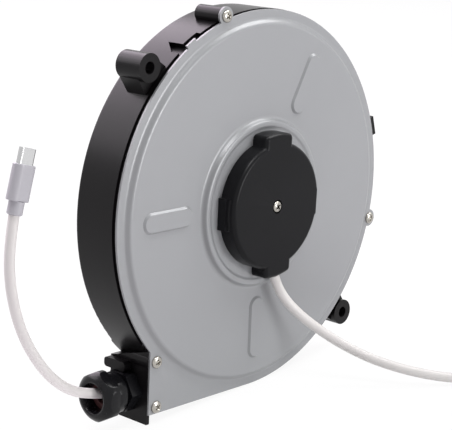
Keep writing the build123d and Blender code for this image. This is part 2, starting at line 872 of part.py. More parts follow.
# Front flange, which closes the drum
with BuildPart() as spool_front_flange:
    sleeve(bush_radius, front_flange_radius, front_flange_back, front_flange_front)
    sleeve(bush_radius, bush_radius + bush_hub_wall, front_bush_back, front_flange_back)
    lip_radius = drum_bore_radius - locating_clearance
    sleeve(lip_radius - locating_lip, lip_radius, front_flange_back - locating_lip, front_flange_back)
spool_front_flange.part.label = "spool_front_flange"
export_step(spool_front_flange.part, "parts/spool_front_flange.step")

# Bushes that run on the shaft's two journals
with BuildPart() as rear_bush:
    sleeve(bush_bore_radius, bush_radius, rear_bush_back, rear_bush_front)
rear_bush.part.label = "rear_bush"
export_step(rear_bush.part, "parts/rear_bush.step")

with BuildPart() as front_bush:
    sleeve(bush_bore_radius, bush_radius, front_bush_back, front_bush_front)
front_bush.part.label = "front_bush"
export_step(front_bush.part, "parts/front_bush.step")

# Mainspring: a flat strip of half turns about two centres, hooked in the arbor and in the drum
spring_pitch = (spring_outer_radius - spring_inner_radius) / spring_turns
spring_back = rear_bush_front + spring_side_gap
spring_front = front_bush_back - spring_side_gap
with BuildPart() as mainspring:
    with BuildSketch(reel.offset(spring_back)):
        for half_turn in range(2 * spring_turns):
            centre = ((half_turn % 2) * spring_pitch / 2, 0)
            middle_radius = spring_inner_radius + half_turn * spring_pitch / 2
            start_angle = (half_turn % 2) * 180
            with BuildLine():
                inner_edge = CenterArc(centre, middle_radius - spring_strip / 2, start_angle, 180)
                outer_edge = CenterArc(centre, middle_radius + spring_strip / 2, start_angle, 180)
                Line(inner_edge @ 0, outer_edge @ 0)
                Line(inner_edge @ 1, outer_edge @ 1)
            make_face()
        with Locations((spring_inner_radius + spring_strip / 2, 0)):
            Rectangle(spring_hook + spring_strip, spring_strip, align=(Align.MAX, Align.MAX))
        with Locations((spring_outer_radius - spring_strip / 2, 0)):
            Rectangle(spring_hook + spring_strip / 2, spring_strip, align=(Align.MIN, Align.MIN))
    extrude(amount=spring_front - spring_back)
mainspring.part.label = "mainspring"
export_step(mainspring.part, "parts/mainspring.step")

# Lead wound on the drum, as one solid with the outer turns showing
with BuildPart() as wound_cable:
    pack_width = pack_rows * cord_diameter
    outer_row_radius = pack_outer_radius - cord_radius
    first_row = pack_middle - pack_width / 2 + cord_radius
    with BuildSketch(section):
        with Locations((pack_inner_radius, pack_middle)):
            Rectangle(outer_row_radius - pack_inner_radius, pack_width, align=(Align.MIN, Align.CENTER))
        for row in range(pack_rows):
            with Locations((outer_row_radius, first_row + row * cord_diameter)):
                Circle(cord_radius)
    revolve(axis=reel_axis)
wound_cable.part.label = "wound_cable"
export_step(wound_cable.part, "parts/wound_cable.step")

# Charging lead from the gland to its plug
output_route = [Vector(x, gland_depth, floor_height + height) for x, height in output_points]
with BuildPart() as output_cord:
    output_length = cord_along(output_route)
output_cord.part.label = "output_cord"
export_step(output_cord.part, "parts/output_cord.step")
cord_report("output_cord", output_cord, output_route, output_length)

# Lead from where it leaves the drum to the gland
lead_end = reel.to_local_coords(output_route[0])
lead_distance = hypot(lead_end.X, lead_end.Y)
lead_angle = degrees(atan2(lead_end.Y, lead_end.X) + acos(lead_radius / lead_distance))
lead_start = reel.from_local_coords((*polar(lead_radius, lead_angle), -gland_depth))
with BuildPart() as lead_in:
    with BuildSketch(Plane(origin=lead_start, z_dir=output_route[0] - lead_start)):
        Circle(cord_radius)
    extrude(amount=(output_route[0] - lead_start).length)
lead_in.part.label = "lead_in"
export_step(lead_in.part, "parts/lead_in.step")

# Oval plug at the end of the charging lead
plug_direction = Vector(sin(radians(plug_lean)), 0, cos(radians(plug_lean)))
lead_plug = Plane(
    origin=output_route[-1],
    x_dir=(cos(radians(plug_lean)), 0, -sin(radians(plug_lean))),
    z_dir=plug_direction,
)
with BuildPart() as lead_plug_collar:
    with BuildSketch(lead_plug):
        Circle(collar_radius)
    extrude(amount=collar_length)
    chamfer(lead_plug_collar.edges().sort_by(Axis.Z)[0], (collar_radius - cord_radius) / 2)
lead_plug_collar.part.label = "lead_plug_collar"
export_step(lead_plug_collar.part, "parts/lead_plug_collar.step")

lead_mould_back = lead_plug.offset(collar_length)
lead_mould_front = lead_mould_back.offset(lead_mould_size[2])
with BuildPart() as lead_plug_overmould:
    with BuildSketch(lead_mould_back):
        SlotOverall(lead_mould_size[0], lead_mould_size[1])
    extrude(amount=lead_mould_size[2])
    fillet(lead_plug_overmould.edges().filter_by(GeomType.CIRCLE), lead_mould_round)
lead_plug_overmould.part.label = "lead_plug_overmould"
export_step(lead_plug_overmould.part, "parts/lead_plug_overmould.step")

with BuildPart() as lead_plug_shell:
    with BuildSketch(lead_mould_front):
        SlotOverall(lead_shell_size[0], lead_shell_size[1])
        SlotOverall(
            lead_shell_size[0] - 2 * lead_shell_wall,
            lead_shell_size[1] - 2 * lead_shell_wall,
            mode=Mode.SUBTRACT,
        )
    extrude(amount=lead_shell_size[2])
lead_plug_shell.part.label = "lead_plug_shell"
export_step(lead_plug_shell.part, "parts/lead_plug_shell.step")

with BuildPart() as lead_plug_insert:
    with BuildSketch(lead_mould_front):
        SlotOverall(lead_shell_size[0] - 2 * lead_shell_wall, lead_shell_size[1] - 2 * lead_shell_wall)
    extrude(amount=lead_shell_size[2] - lead_shell_wall)
    with BuildSketch(lead_mould_front.offset(lead_shell_size[2] - lead_shell_wall)):
        Rectangle(lead_slot_size[0], lead_slot_size[1])
    extrude(amount=-lead_slot_size[2], mode=Mode.SUBTRACT)
lead_plug_insert.part.label = "lead_plug_insert"
export_step(lead_plug_insert.part, "parts/lead_plug_insert.step")

# Pawl, shown lifted clear of the teeth
nose_middle = polar(tooth_tip_radius - pawl_nose_depth, pawl_seat_angle + pawl_nose_lag)
nose_reach = hypot(nose_middle[0] - pawl_pivot[0], nose_middle[1] - pawl_pivot[1])
seated_angle = degrees(atan2(nose_middle[1] - pawl_pivot[1], nose_middle[0] - pawl_pivot[0]))
lifted_angle = seated_angle + pawl_swing
pawl_plane = Plane(
    origin=reel.from_local_coords((*pawl_pivot, pawl_back)),
    x_dir=reel.from_local_coords((*polar(1, lifted_angle), 0)),
    z_dir=reel.z_dir,
)
with BuildPart() as pawl:
    with BuildSketch(pawl_plane) as pawl_outline:
        Circle(pawl_hub_radius)
        with Locations((nose_reach, 0)):
            Circle(pawl_nose_radius)
        make_hull(pawl_outline.edges())
        Circle(pawl_pin_radius + running_clearance, mode=Mode.SUBTRACT)
    extrude(amount=pawl_thickness)
pawl.part.label = "pawl"
export_step(pawl.part, "parts/pawl.step")

# Pin of the pawl, pressed into its boss
with BuildPart() as pawl_pin:
    with BuildSketch(reel.offset(inside)):
        with Locations(pawl_pivot):
            Circle(pawl_pin_radius)
    extrude(amount=pawl_front + pawl_play + 2 * pawl_wire - inside)
pawl_pin.part.label = "pawl_pin"
export_step(pawl_pin.part, "parts/pawl_pin.step")

# Wire spring round the pin, with one leg behind the pawl and one on the casing's base
pawl_taper = pawl_wire_share * (pawl_hub_radius - pawl_nose_radius)
hook_offset = pawl_hub_radius - pawl_taper + pawl_wire_gap + pawl_wire / 2
hook_place = (pawl_wire_share * nose_reach, hook_offset)
with BuildPart() as pawl_spring:
    spring_plane = pawl_plane.offset(pawl_thickness + pawl_play)
    eye_radius = pawl_pin_radius + pawl_wire_gap / 2
    base_leg = cavity_radius + pawl_pivot[1] - pawl_wire_gap
    with BuildSketch(spring_plane):
        with BuildLine():
            Polyline((0, eye_radius), hook_place)
        trace(line_width=pawl_wire)
        with Locations(hook_place):
            Circle(pawl_wire / 2)
        Circle(eye_radius + pawl_wire)
        Circle(eye_radius, mode=Mode.SUBTRACT)
    extrude(amount=pawl_wire)
    with BuildSketch(reel.offset(pawl_front + pawl_play)):
        with Locations((pawl_pivot[0] + eye_radius, pawl_pivot[1])):
            Rectangle(pawl_wire, base_leg, align=(Align.MIN, Align.MAX))
    extrude(amount=pawl_wire)
    with BuildSketch(spring_plane):
        with Locations(hook_place):
            Circle(pawl_wire / 2)
    extrude(amount=-pawl_thickness)
pawl_spring.part.label = "pawl_spring"
export_step(pawl_spring.part, "parts/pawl_spring.step")

# Turning half of the rotary contact: a board with ring tracks
with BuildPart() as slip_ring_board:
    sleeve(board_bore_radius, board_radius, front_flange_front, board_front)
slip_ring_board.part.label = "slip_ring_board"
export_step(slip_ring_board.part, "parts/slip_ring_board.step")

with BuildPart() as slip_ring_tracks:
    for radius in track_radii:
        sleeve(radius - track_width / 2, radius + track_width / 2, board_front, track_front)
slip_ring_tracks.part.label = "slip_ring_tracks"
export_step(slip_ring_tracks.part, "parts/slip_ring_tracks.step")

# Fixed half of the rotary contact: a block on the shaft's neck with one brush for each track
brush_places = [polar(radius, step * brush_angle_step) for step, radius in enumerate(track_radii)]
with BuildPart() as brush_block:
    sleeve(
        neck_radius + running_clearance,
        brush_block_radius,
        brush_block_back,
        brush_block_back + brush_block_depth,
    )
    with BuildSketch(reel.offset(brush_block_back)):
        with Locations(*brush_places):
            Circle(brush_radius)
    extrude(amount=brush_length, mode=Mode.SUBTRACT)
brush_block.part.label = "brush_block"
export_step(brush_block.part, "parts/brush_block.step")

with BuildPart() as brush_pins:
    with BuildSketch(reel.offset(brush_tip)):
        with Locations(*brush_places):
            Circle(brush_radius)
    extrude(amount=brush_length)
brush_pins.part.label = "brush_pins"
export_step(brush_pins.part, "parts/brush_pins.step")

# Supply lead from the cap to its coil
input_fall = casing_radius - input_drop - lying_height
input_route = [Vector(x, y, -input_drop - share * input_fall) for x, y, share in input_points]
with BuildPart() as input_cord:
    input_length = cord_along(input_route)
input_cord.part.label = "input_cord"
export_step(input_cord.part, "parts/input_cord.step")
cord_report("input_cord", input_cord, input_route, input_length)

# Coil of the rest of the supply lead, three turns below and two on top, as one solid
coil_heading = (input_route[-1] - input_route[-2]).normalized()
coil_side = Vector(-coil_heading.Y, coil_heading.X, 0).normalized()
coil_middle = input_route[-1] + coil_side * (coil_radius + cord_diameter)
coil_base = Vector(coil_middle.X, coil_middle.Y, floor_height)
coil_height = cord_diameter * (1 + sin(radians(nest_angle)))
coil_half_width = coil_turns * cord_diameter / 2
coil_plane = Plane(origin=coil_base, x_dir=(1, 0, 0), z_dir=(0, -1, 0))
coil_axis = Axis(coil_base, (0, 0, 1))
coil_outline = (
    (coil_radius - coil_half_width, coil_lift),
    (coil_radius + coil_half_width, coil_lift),
    (coil_radius + coil_half_width, coil_lift + cord_diameter),
    (coil_radius + coil_half_width - cord_radius, coil_lift + coil_height),
    (coil_radius - coil_half_width + cord_radius, coil_lift + coil_height),
    (coil_radius - coil_half_width, coil_lift + cord_diameter),
)
with BuildPart() as input_coil:
    with BuildSketch(coil_plane):
        with BuildLine():
            FilletPolyline(*coil_outline, radius=coil_round, close=True)
        make_face()
    revolve(axis=coil_axis)
input_coil.part.label = "input_coil"
export_step(input_coil.part, "parts/input_coil.step")

# Tie round the coil
with BuildPart() as coil_tie:
    tie_plane = Plane(
        origin=coil_base,
        x_dir=(cos(radians(tie_place)), sin(radians(tie_place)), 0),
        z_dir=(sin(radians(tie_place)), -cos(radians(tie_place)), 0),
    )
    with BuildSketch(tie_plane):
        with BuildLine():
            FilletPolyline(*coil_outline, radius=coil_round, close=True)
        make_face()
        offset(amount=tie_thickness + tie_clearance)
        with BuildLine():
            FilletPolyline(*coil_outline, radius=coil_round, close=True)
            offset(amount=tie_clearance, mode=Mode.REPLACE)
        make_face(mode=Mode.SUBTRACT)
    revolve(axis=coil_axis, revolution_arc=tie_angle)
coil_tie.part.label = "coil_tie"
export_step(coil_tie.part, "parts/coil_tie.step")

# Tail of the supply lead, from the coil's outer top turn to the plug
tail_start = Vector(coil_middle.X, coil_middle.Y - coil_radius - cord_radius, 0)
tail_route = [
    Vector(tail_start.X + along, tail_start.Y + across, floor_height + height)
    for along, across, height in tail_points
]
with BuildPart() as input_tail:
    tail_length = cord_along(tail_route)
input_tail.part.label = "input_tail"
export_step(input_tail.part, "parts/input_tail.step")
cord_report("input_tail", input_tail, tail_route, tail_length)

# Flat plug of the supply lead, lying on its wide face beside the coil
supply_run = tail_route[-1] - tail_route[-2]
supply_heading = Vector(supply_run.X, supply_run.Y, 0).normalized()
supply_plug = Plane(
    origin=tail_route[-1],
    x_dir=(supply_heading.Y, -supply_heading.X, 0),
    z_dir=supply_heading,
)
with BuildPart() as supply_plug_overmould:
    with BuildSketch(supply_plug):
        RectangleRounded(supply_mould_size[0], supply_mould_size[1], supply_mould_radius)
    extrude(amount=supply_mould_size[2])
supply_plug_overmould.part.label = "supply_plug_overmould"
export_step(supply_plug_overmould.part, "parts/supply_plug_overmould.step")

supply_front = supply_plug.offset(supply_mould_size[2])
with BuildPart() as supply_plug_shell:
    with BuildSketch(supply_front):
        RectangleRounded(supply_shell_size[0], supply_shell_size[1], 2 * supply_shell_wall)
        RectangleRounded(
            supply_shell_size[0] - 2 * supply_shell_wall,
            supply_shell_size[1] - 2 * supply_shell_wall,
            supply_shell_wall,
            mode=Mode.SUBTRACT,
        )
    extrude(amount=supply_shell_size[2])
    with BuildSketch(Plane(origin=supply_front.origin, x_dir=supply_front.x_dir, z_dir=(0, 0, 1))):
        for side in (-1, 1):
            with Locations((side * supply_window_centre[0], supply_window_centre[1])):
                Rectangle(*supply_window)
    extrude(amount=supply_shell_size[1], both=True, mode=Mode.SUBTRACT)
supply_plug_shell.part.label = "supply_plug_shell"
export_step(supply_plug_shell.part, "parts/supply_plug_shell.step")

with BuildPart() as supply_plug_insert:
    inner_width = supply_shell_size[0] - 2 * supply_shell_wall
    inner_height = supply_shell_size[1] - 2 * supply_shell_wall
    insert_width = inner_width - 2 * supply_shell_wall
    with BuildSketch(supply_front):
        with Locations((0, -inner_height / 2)):
            Rectangle(insert_width, supply_insert_height, align=(Align.CENTER, Align.MIN))
    extrude(amount=supply_shell_size[2] - supply_shell_wall)
supply_plug_insert.part.label = "supply_plug_insert"
export_step(supply_plug_insert.part, "parts/supply_plug_insert.step")
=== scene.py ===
"""Looks of a retractable charging cable: its finishes, leads, screws, hub cap, gland nut and studio.

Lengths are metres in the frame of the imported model: the reel turns about Y, its cover looks along -Y
and +Z is up. Routes, profiles and the places of screws are listed in millimetres.
"""

import logging
import math
from collections.abc import Callable
from dataclasses import dataclass, field
from enum import Enum
from typing import ClassVar

import bpy
from mathutils import Matrix, Vector


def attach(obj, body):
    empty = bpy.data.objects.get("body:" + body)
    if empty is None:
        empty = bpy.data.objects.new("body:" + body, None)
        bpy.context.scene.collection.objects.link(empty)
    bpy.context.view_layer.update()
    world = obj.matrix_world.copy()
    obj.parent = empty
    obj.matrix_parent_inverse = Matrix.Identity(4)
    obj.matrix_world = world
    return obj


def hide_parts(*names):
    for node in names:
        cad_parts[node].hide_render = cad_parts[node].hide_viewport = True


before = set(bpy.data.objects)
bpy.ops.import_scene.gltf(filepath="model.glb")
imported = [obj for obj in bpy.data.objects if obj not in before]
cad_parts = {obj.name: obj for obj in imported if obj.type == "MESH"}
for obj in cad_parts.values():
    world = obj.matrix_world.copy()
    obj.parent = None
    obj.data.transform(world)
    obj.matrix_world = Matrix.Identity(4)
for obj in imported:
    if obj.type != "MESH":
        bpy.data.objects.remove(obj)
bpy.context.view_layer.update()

log = logging.getLogger("charging_cable")

Colour = tuple[float, float, float]
Point = tuple[float, float, float]
Pairs = tuple[tuple[float, float], ...]

MM = 0.001
FLOOR_HEIGHT = -0.088
LEAN = math.radians(3.8)
CASING_BODY = "casing"

# Mean of a pattern, and the share of a normal along Z from which a face looks up or down
PATTERN_MEAN = 0.5
UPRIGHT = 0.5

# Numbers of a Mix node's colour sockets, which share their names with others
MIX_FIRST = 6
MIX_SECOND = 7
MIX_RESULT = 2

# Smoothness of the leads and of rounded edges
CORD_ORDER = 3
CORD_STEPS = 10
CORD_ROUNDING = 6
EDGE_STEPS = 2


@dataclass(frozen=True)
class Wire:
    """An output of a shader node that takes part in arithmetic.

    Args:
        net: The material's node tree that the output belongs to.
        socket: The output socket.
    """

    net: "ShaderNet"
    socket: bpy.types.NodeSocket

    def _math(self, operation: str, first: "Wire | float", second: "Wire | float") -> "Wire":
        """Add a Math node on two values."""
        return self.net.node("ShaderNodeMath", {"operation": operation}, {0: first, 1: second})

    def __add__(self, other: "Wire | float") -> "Wire":
        """Sum of the two."""
        return self._math("ADD", self, other)

    def __sub__(self, other: "Wire | float") -> "Wire":
        """Difference of the two."""
        return self._math("SUBTRACT", self, other)

    def __rsub__(self, other: float) -> "Wire":
        """Difference, with the number first."""
        return self._math("SUBTRACT", other, self)

    def __mul__(self, other: "Wire | float") -> "Wire":
        """Product of the two."""
        return self._math("MULTIPLY", self, other)

    __radd__ = __add__
    __rmul__ = __mul__

    def at_most(self, limit: float) -> "Wire":
        """The value, or a limit where it is over that."""
        return self._math("MINIMUM", self, limit)


class ShaderNet:
    """The node tree of one material or of the world."""

    def __init__(self, owner: bpy.types.Material | bpy.types.World) -> None:
        """Start an empty tree.

        Args:
            owner: The material or world that the tree belongs to.
        """
        owner.use_nodes = True
        self.tree = owner.node_tree
        self.tree.nodes.clear()

    def node(
        self,
        kind: str,
        settings: dict | None = None,
        inputs: dict | None = None,
        output: int | str = 0,
    ) -> Wire:
        """Add any node.

        Args:
            kind: The node's type.
            settings: Its properties, set first.
            inputs: Values or wires for its input sockets, by name or index.
            output: The output socket to return.

        Returns:
            The chosen output.
        """
        made = self.tree.nodes.new(kind)
        for key, value in (settings or {}).items():
            setattr(made, key, value)
        for key, value in (inputs or {}).items():
            if isinstance(value, Wire):
                self.tree.links.new(value.socket, made.inputs[key])
            else:
                made.inputs[key].default_value = value
        return Wire(self, made.outputs[output])

    def place(self) -> Wire:
        """Object coordinates, which are the frame's metres."""
        return self.node("ShaderNodeTexCoord", output="Object")

    def noise(self, size: float, detail: float = 2.0, rough: float = 0.5) -> Wire:
        """Cloudy pattern.

        Args:
            size: Size of its largest spots, in metres.
            detail: Number of finer octaves.
            rough: Weight of the finer octaves.

        Returns:
            A value from 0 to 1, mostly near a half.
        """
        inputs = {"Vector": self.place(), "Scale": 1 / size, "Detail": detail, "Roughness": rough}
        return self.node("ShaderNodeTexNoise", {}, inputs)

    def cells(self, size: float, randomness: float, feature: str) -> Wire:
        """Pattern of cells.

        Args:
            size: Size of a cell, in metres.
            randomness: How far the cells stray from rows, from 0 to 1.
            feature: What is measured in a cell.

        Returns:
            The distance from the middle of the cell.
        """
        inputs = {"Vector": self.place(), "Scale": 1 / size, "Randomness": randomness}
        return self.node("ShaderNodeTexVoronoi", {"feature": feature}, inputs)

    def mix(self, factor: Wire, first: Colour | Wire, second: Colour | Wire) -> Wire:
        """Mix two colours.

        Args:
            factor: The share of the second colour, from 0 to 1.
            first: The first colour.
            second: The second colour.

        Returns:
            The mixed colour.
        """
        pair = [value if isinstance(value, Wire) else (*value, 1.0) for value in (first, second)]
        inputs = {"Factor": factor, MIX_FIRST: pair[0], MIX_SECOND: pair[1]}
        return self.node("ShaderNodeMix", {"data_type": "RGBA"}, inputs, output=MIX_RESULT)

    def bump(self, height: Wire, depth: float) -> Wire:
        """Normal of a surface with small relief, whose full height is depth metres."""
        return self.node("ShaderNodeBump", {}, {"Height": height, "Distance": depth, "Strength": 1.0})

    def in_view(self) -> Wire:
        """Tell what the eye sees from light that spreads.

        Returns:
            1 for what is seen straight on, mirrored or through glass, and 0 for the rest.
        """
        ways = [
            self.node("ShaderNodeLightPath", output=way)
            for way in ("Is Camera Ray", "Is Glossy Ray", "Is Transmission Ray")
        ]
        return (ways[0] + ways[1] + ways[2]).at_most(1.0)

    def close(self, shader: Wire, target: str = "ShaderNodeOutputMaterial") -> None:
        """End the tree with a shader.

        Args:
            shader: The shader's output.
            target: The type of the output node.
        """
        end = self.tree.nodes.new(target)
        self.tree.links.new(shader.socket, end.inputs["Surface"])


def shade(colour: Colour, factor: float) -> Colour:
    """A colour made lighter or darker."""
    return tuple(min(1.0, channel * factor) for channel in colour)


@dataclass(frozen=True)
class Finish:
    """A surface finish with a cloudy tint and a fine grain.

    The size of its clouds, in grains, belongs to each kind of finish.

    Args:
        name: The finish's name.
        colour: Its colour, linear.
        roughness: Its mean roughness.
        grain: Size of the fine grain, in metres.
        relief: Height of the fine grain, in metres.
        tint: How far the colour varies, as a share.
        polish: How far the roughness varies.
        fixed: Values of other sockets, the same all over.
    """

    name: str
    colour: Colour
    roughness: float
    grain: float = 0.0006
    relief: float = 0.00002
    tint: float = 0.06
    polish: float = 0.08
    fixed: dict = field(default_factory=dict)
    cloud_size: ClassVar[float] = 60.0

    def pattern(self, net: ShaderNet) -> tuple[Wire, Wire]:
        """Tint and height of the surface's pattern.

        Args:
            net: The material's node tree.

        Returns:
            The tint from 0 to 1, and the height from 0 to 1.
        """
        return net.noise(self.cloud_size * self.grain, detail=4.0), net.noise(self.grain)

    def paint(self, net: ShaderNet, tint: Wire) -> Wire:
        """Colour of the surface.

        Args:
            net: The material's node tree.
            tint: The pattern's tint, from 0 to 1.

        Returns:
            The colour.
        """
        return net.mix(tint, shade(self.colour, 1 - self.tint), shade(self.colour, 1 + self.tint))

    def material(self) -> bpy.types.Material:
        """Make the finish's material, or find it where it has been made.

        Returns:
            The material.
        """
        ready = bpy.data.materials.get(self.name)
        if ready:
            return ready
        made = bpy.data.materials.new(self.name)
        net = ShaderNet(made)
        tint, height = self.pattern(net)
        inputs = dict(self.fixed)
        inputs["Base Color"] = self.paint(net, tint)
        inputs["Roughness"] = self.roughness + (height - PATTERN_MEAN) * self.polish
        inputs["Normal"] = net.bump(height, self.relief)
        net.close(net.node("ShaderNodeBsdfPrincipled", {}, inputs))
        return made


@dataclass(frozen=True)
class MouldedPlastic(Finish):
    """Moulded plastic with the fine pits of an eroded mould and a cloudy gloss."""

    cloud_size: ClassVar[float] = 50.0
    pit_share: ClassVar[float] = 0.6

    def pattern(self, net: ShaderNet) -> tuple[Wire, Wire]:
        """Small rounded pits, blurred by finer grain.

        Args:
            net: The material's node tree.

        Returns:
            The tint and the height, each from 0 to 1.
        """
        pits = net.cells(self.grain, randomness=1.0, feature="SMOOTH_F1")
        fine = net.noise(self.grain / 2, detail=3.0)
        cloud = net.noise(self.cloud_size * self.grain, detail=5.0, rough=0.6)
        return cloud, pits * self.pit_share + fine * (1 - self.pit_share)


@dataclass(frozen=True)
class PaintedSheet(Finish):
    """Pressed sheet under silver paint: bright flakes in a slightly rippled coat, with painted shade where
    the sheet turns out of its plane.
    """

    cloud_size: ClassVar[float] = 120.0
    ripple_size: ClassVar[float] = 6.0
    flake_share: ClassVar[float] = 0.55
    ripple_share: ClassVar[float] = 0.7
    # Painted shade where the sheet turns out of its plane: its share, and the factor of its darkest colour
    turned_shade_share: ClassVar[float] = 0.45
    turned_shade_factor: ClassVar[float] = 0.25

    def pattern(self, net: ShaderNet) -> tuple[Wire, Wire]:
        """Fine flakes over soft clouds, with the ripple of the paint.

        Args:
            net: The material's node tree.

        Returns:
            The tint and the height, each from 0 to 1.
        """
        flakes = net.noise(self.grain, detail=1.0)
        cloud = net.noise(self.cloud_size * self.grain, detail=4.0, rough=0.6)
        ripple = net.noise(self.ripple_size * self.grain)
        tint = flakes * self.flake_share + cloud * (1 - self.flake_share)
        return tint, ripple * self.ripple_share + flakes * (1 - self.ripple_share)

    def paint(self, net: ShaderNet, tint: Wire) -> Wire:
        """Painted shade: the colour darkens where the sheet turns out of its plane, on its edges and slopes.

        Args:
            net: The material's node tree.
            tint: The pattern's tint, from 0 to 1.

        Returns:
            The colour.
        """
        # Painted shade: the colour darkens as the normal turns away from Y
        normal = net.node("ShaderNodeTexCoord", output="Normal")
        facing = net.node("ShaderNodeSeparateXYZ", {}, {0: normal}, output="Y")
        turned = 1.0 - facing * facing
        full = super().paint(net, tint)
        return net.mix(turned * self.turned_shade_share, full, shade(self.colour, self.turned_shade_factor))


@dataclass(frozen=True)
class TurnedMetal(Finish):
    """Metal with fine marks round the reel's axis, as turning and rolling leave them."""

    cloud_size: ClassVar[float] = 20.0
    ring_pace: ClassVar[float] = 0.3

    def pattern(self, net: ShaderNet) -> tuple[Wire, Wire]:
        """Fine rings about Y, under a cloudy tint.

        Args:
            net: The material's node tree.

        Returns:
            The tint and the height, each from 0 to 1.
        """
        cloud = net.noise(self.cloud_size * self.grain, detail=3.0)
        settings = {"wave_type": "RINGS", "rings_direction": "Y"}
        pace = self.ring_pace / self.grain
        inputs = {"Vector": net.place(), "Scale": pace, "Distortion": 2.0, "Detail": 2.0}
        rings = net.node("ShaderNodeTexWave", settings, inputs, output="Fac")
        return cloud, rings


@dataclass(frozen=True)
class WovenTape(Finish):
    """Tape of hooks and loops, with a coarse woven surface."""

    def pattern(self, net: ShaderNet) -> tuple[Wire, Wire]:
        """Uneven rows of loops.

        Args:
            net: The material's node tree.

        Returns:
            The tint and the height, which are the same.
        """
        loops = net.cells(self.grain, randomness=0.5, feature="F1")
        return loops, loops


METAL = {"Metallic": 1.0}
SATIN = {"Specular IOR Level": 0.14}
MATT = {"Specular IOR Level": 0.11}
GLOSSY = {"Specular IOR Level": 0.18}
BLACK_CASING = MouldedPlastic(
    "black_casing_finish", (0.005, 0.0045, 0.005), 0.32,
    grain=0.0006, relief=0.000008, tint=0.15, polish=0.10, fixed=SATIN,
)
GREY_COVER = PaintedSheet(
    "grey_cover_finish", (0.262, 0.267, 0.276), 0.34,
    grain=0.0003, relief=0.000004, tint=0.05, polish=0.10, fixed={"Metallic": 0.15},
)
CAP_BLACK = MouldedPlastic(
    "cap_black_finish", (0.006, 0.006, 0.007), 0.30,
    grain=0.0005, relief=0.000008, tint=0.15, polish=0.10, fixed=MATT,
)
GLAND_BLACK = MouldedPlastic(
    "gland_black_finish", (0.005, 0.005, 0.006), 0.24,
    grain=0.0007, relief=0.000004, tint=0.15, polish=0.08, fixed=GLOSSY,
)
SEAL_RUBBER = Finish(
    "seal_rubber_finish", (0.045, 0.010, 0.010), 0.6,
    grain=0.0008, relief=0.00003,
)
WHITE_SHEATH = Finish(
    "white_sheath_finish", (0.535, 0.515, 0.505), 0.40,
    grain=0.0009, relief=0.000015, tint=0.02, polish=0.06,
)
WHITE_MOULD = Finish(
    "white_mould_finish", (0.325, 0.318, 0.343), 0.36,
    grain=0.0009, relief=0.00001, tint=0.02, polish=0.06,
)
BRIGHT_NICKEL = TurnedMetal(
    "bright_nickel_finish", (0.42, 0.40, 0.365), 0.22,
    grain=0.0004, relief=0.000004, tint=0.08, polish=0.06, fixed=METAL,
)
PLUG_STEEL = Finish(
    "plug_steel_finish", (0.52, 0.52, 0.525), 0.24,
    grain=0.0005, relief=0.000004, tint=0.05, polish=0.05, fixed=METAL,
)
PLUG_CORE = Finish(
    "plug_core_finish", (0.016, 0.016, 0.017), 0.35,
    grain=0.0005, relief=0.00001,
)
SHAFT_STEEL = TurnedMetal(
    "shaft_steel_finish", (0.50, 0.50, 0.50), 0.3,
    grain=0.0004, relief=0.000004, tint=0.1, polish=0.1, fixed=METAL,
)
SPRING_STEEL = TurnedMetal(
    "spring_steel_finish", (0.30, 0.33, 0.38), 0.28,
    grain=0.0005, relief=0.000004, tint=0.12, polish=0.1, fixed=METAL,
)
BUSH_BRONZE = Finish(
    "bush_bronze_finish", (0.55, 0.36, 0.17), 0.38,
    grain=0.0003, relief=0.00001, tint=0.12, polish=0.1, fixed=METAL,
)
SPOOL_GREY = MouldedPlastic(
    "spool_grey_finish", (0.27, 0.27, 0.28), 0.45,
    grain=0.0008, relief=0.00001,
)
BOARD_GREEN = Finish(
    "board_green_finish", (0.03, 0.17, 0.07), 0.4,
    grain=0.0006, relief=0.00001,
)
TRACK_BRASS = TurnedMetal(
    "track_brass_finish", (0.78, 0.56, 0.20), 0.25,
    grain=0.0004, relief=0.000004, tint=0.08, polish=0.08, fixed=METAL,
)
# Painted shade: near-black metal for the faces down in the screws' crosses
RECESS_PAINTED_SHADE = Finish(
    "screw_recess_painted_shade", (0.022, 0.02, 0.018), 0.5,
    grain=0.0003, relief=0.00001, tint=0.1, polish=0.1, fixed=METAL,
)
TIE_BLACK = WovenTape(
    "tie_black_finish", (0.028, 0.028, 0.030), 0.85,
    grain=0.0007, relief=0.0002, tint=0.4, polish=0.1,
)
SCREW_FINISHES = [BRIGHT_NICKEL, RECESS_PAINTED_SHADE]


def dress(node: str, finish: Finish) -> None:
    """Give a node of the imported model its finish.

    Args:
        node: The node's name.
        finish: The finish.
    """
    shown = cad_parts[node]
    shown.data.materials.clear()
    shown.data.materials.append(finish.material())
    log.info("%s has %s", node, finish.name)


def add_piece(piece: bpy.types.Object, finishes: list[Finish], slot: str, *nodes: str) -> None:
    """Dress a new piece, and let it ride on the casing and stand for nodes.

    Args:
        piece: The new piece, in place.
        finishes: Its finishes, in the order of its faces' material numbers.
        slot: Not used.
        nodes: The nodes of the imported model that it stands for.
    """
    while len(piece.data.materials) < len(finishes):
        piece.data.materials.append(None)
    for number, finish in enumerate(finishes):
        piece.data.materials[number] = finish.material()
    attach(piece, CASING_BODY)
    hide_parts(*nodes)
    log.info("%s rides on %s", piece.name, CASING_BODY)


def new_object(name: str, data: bpy.types.ID) -> bpy.types.Object:
    """Add an object to the scene.

    Args:
        name: Its name.
        data: Its mesh, curve, light or camera.

    Returns:
        The object.
    """
    made = bpy.data.objects.new(name, data)
    bpy.context.scene.collection.objects.link(made)
    return made


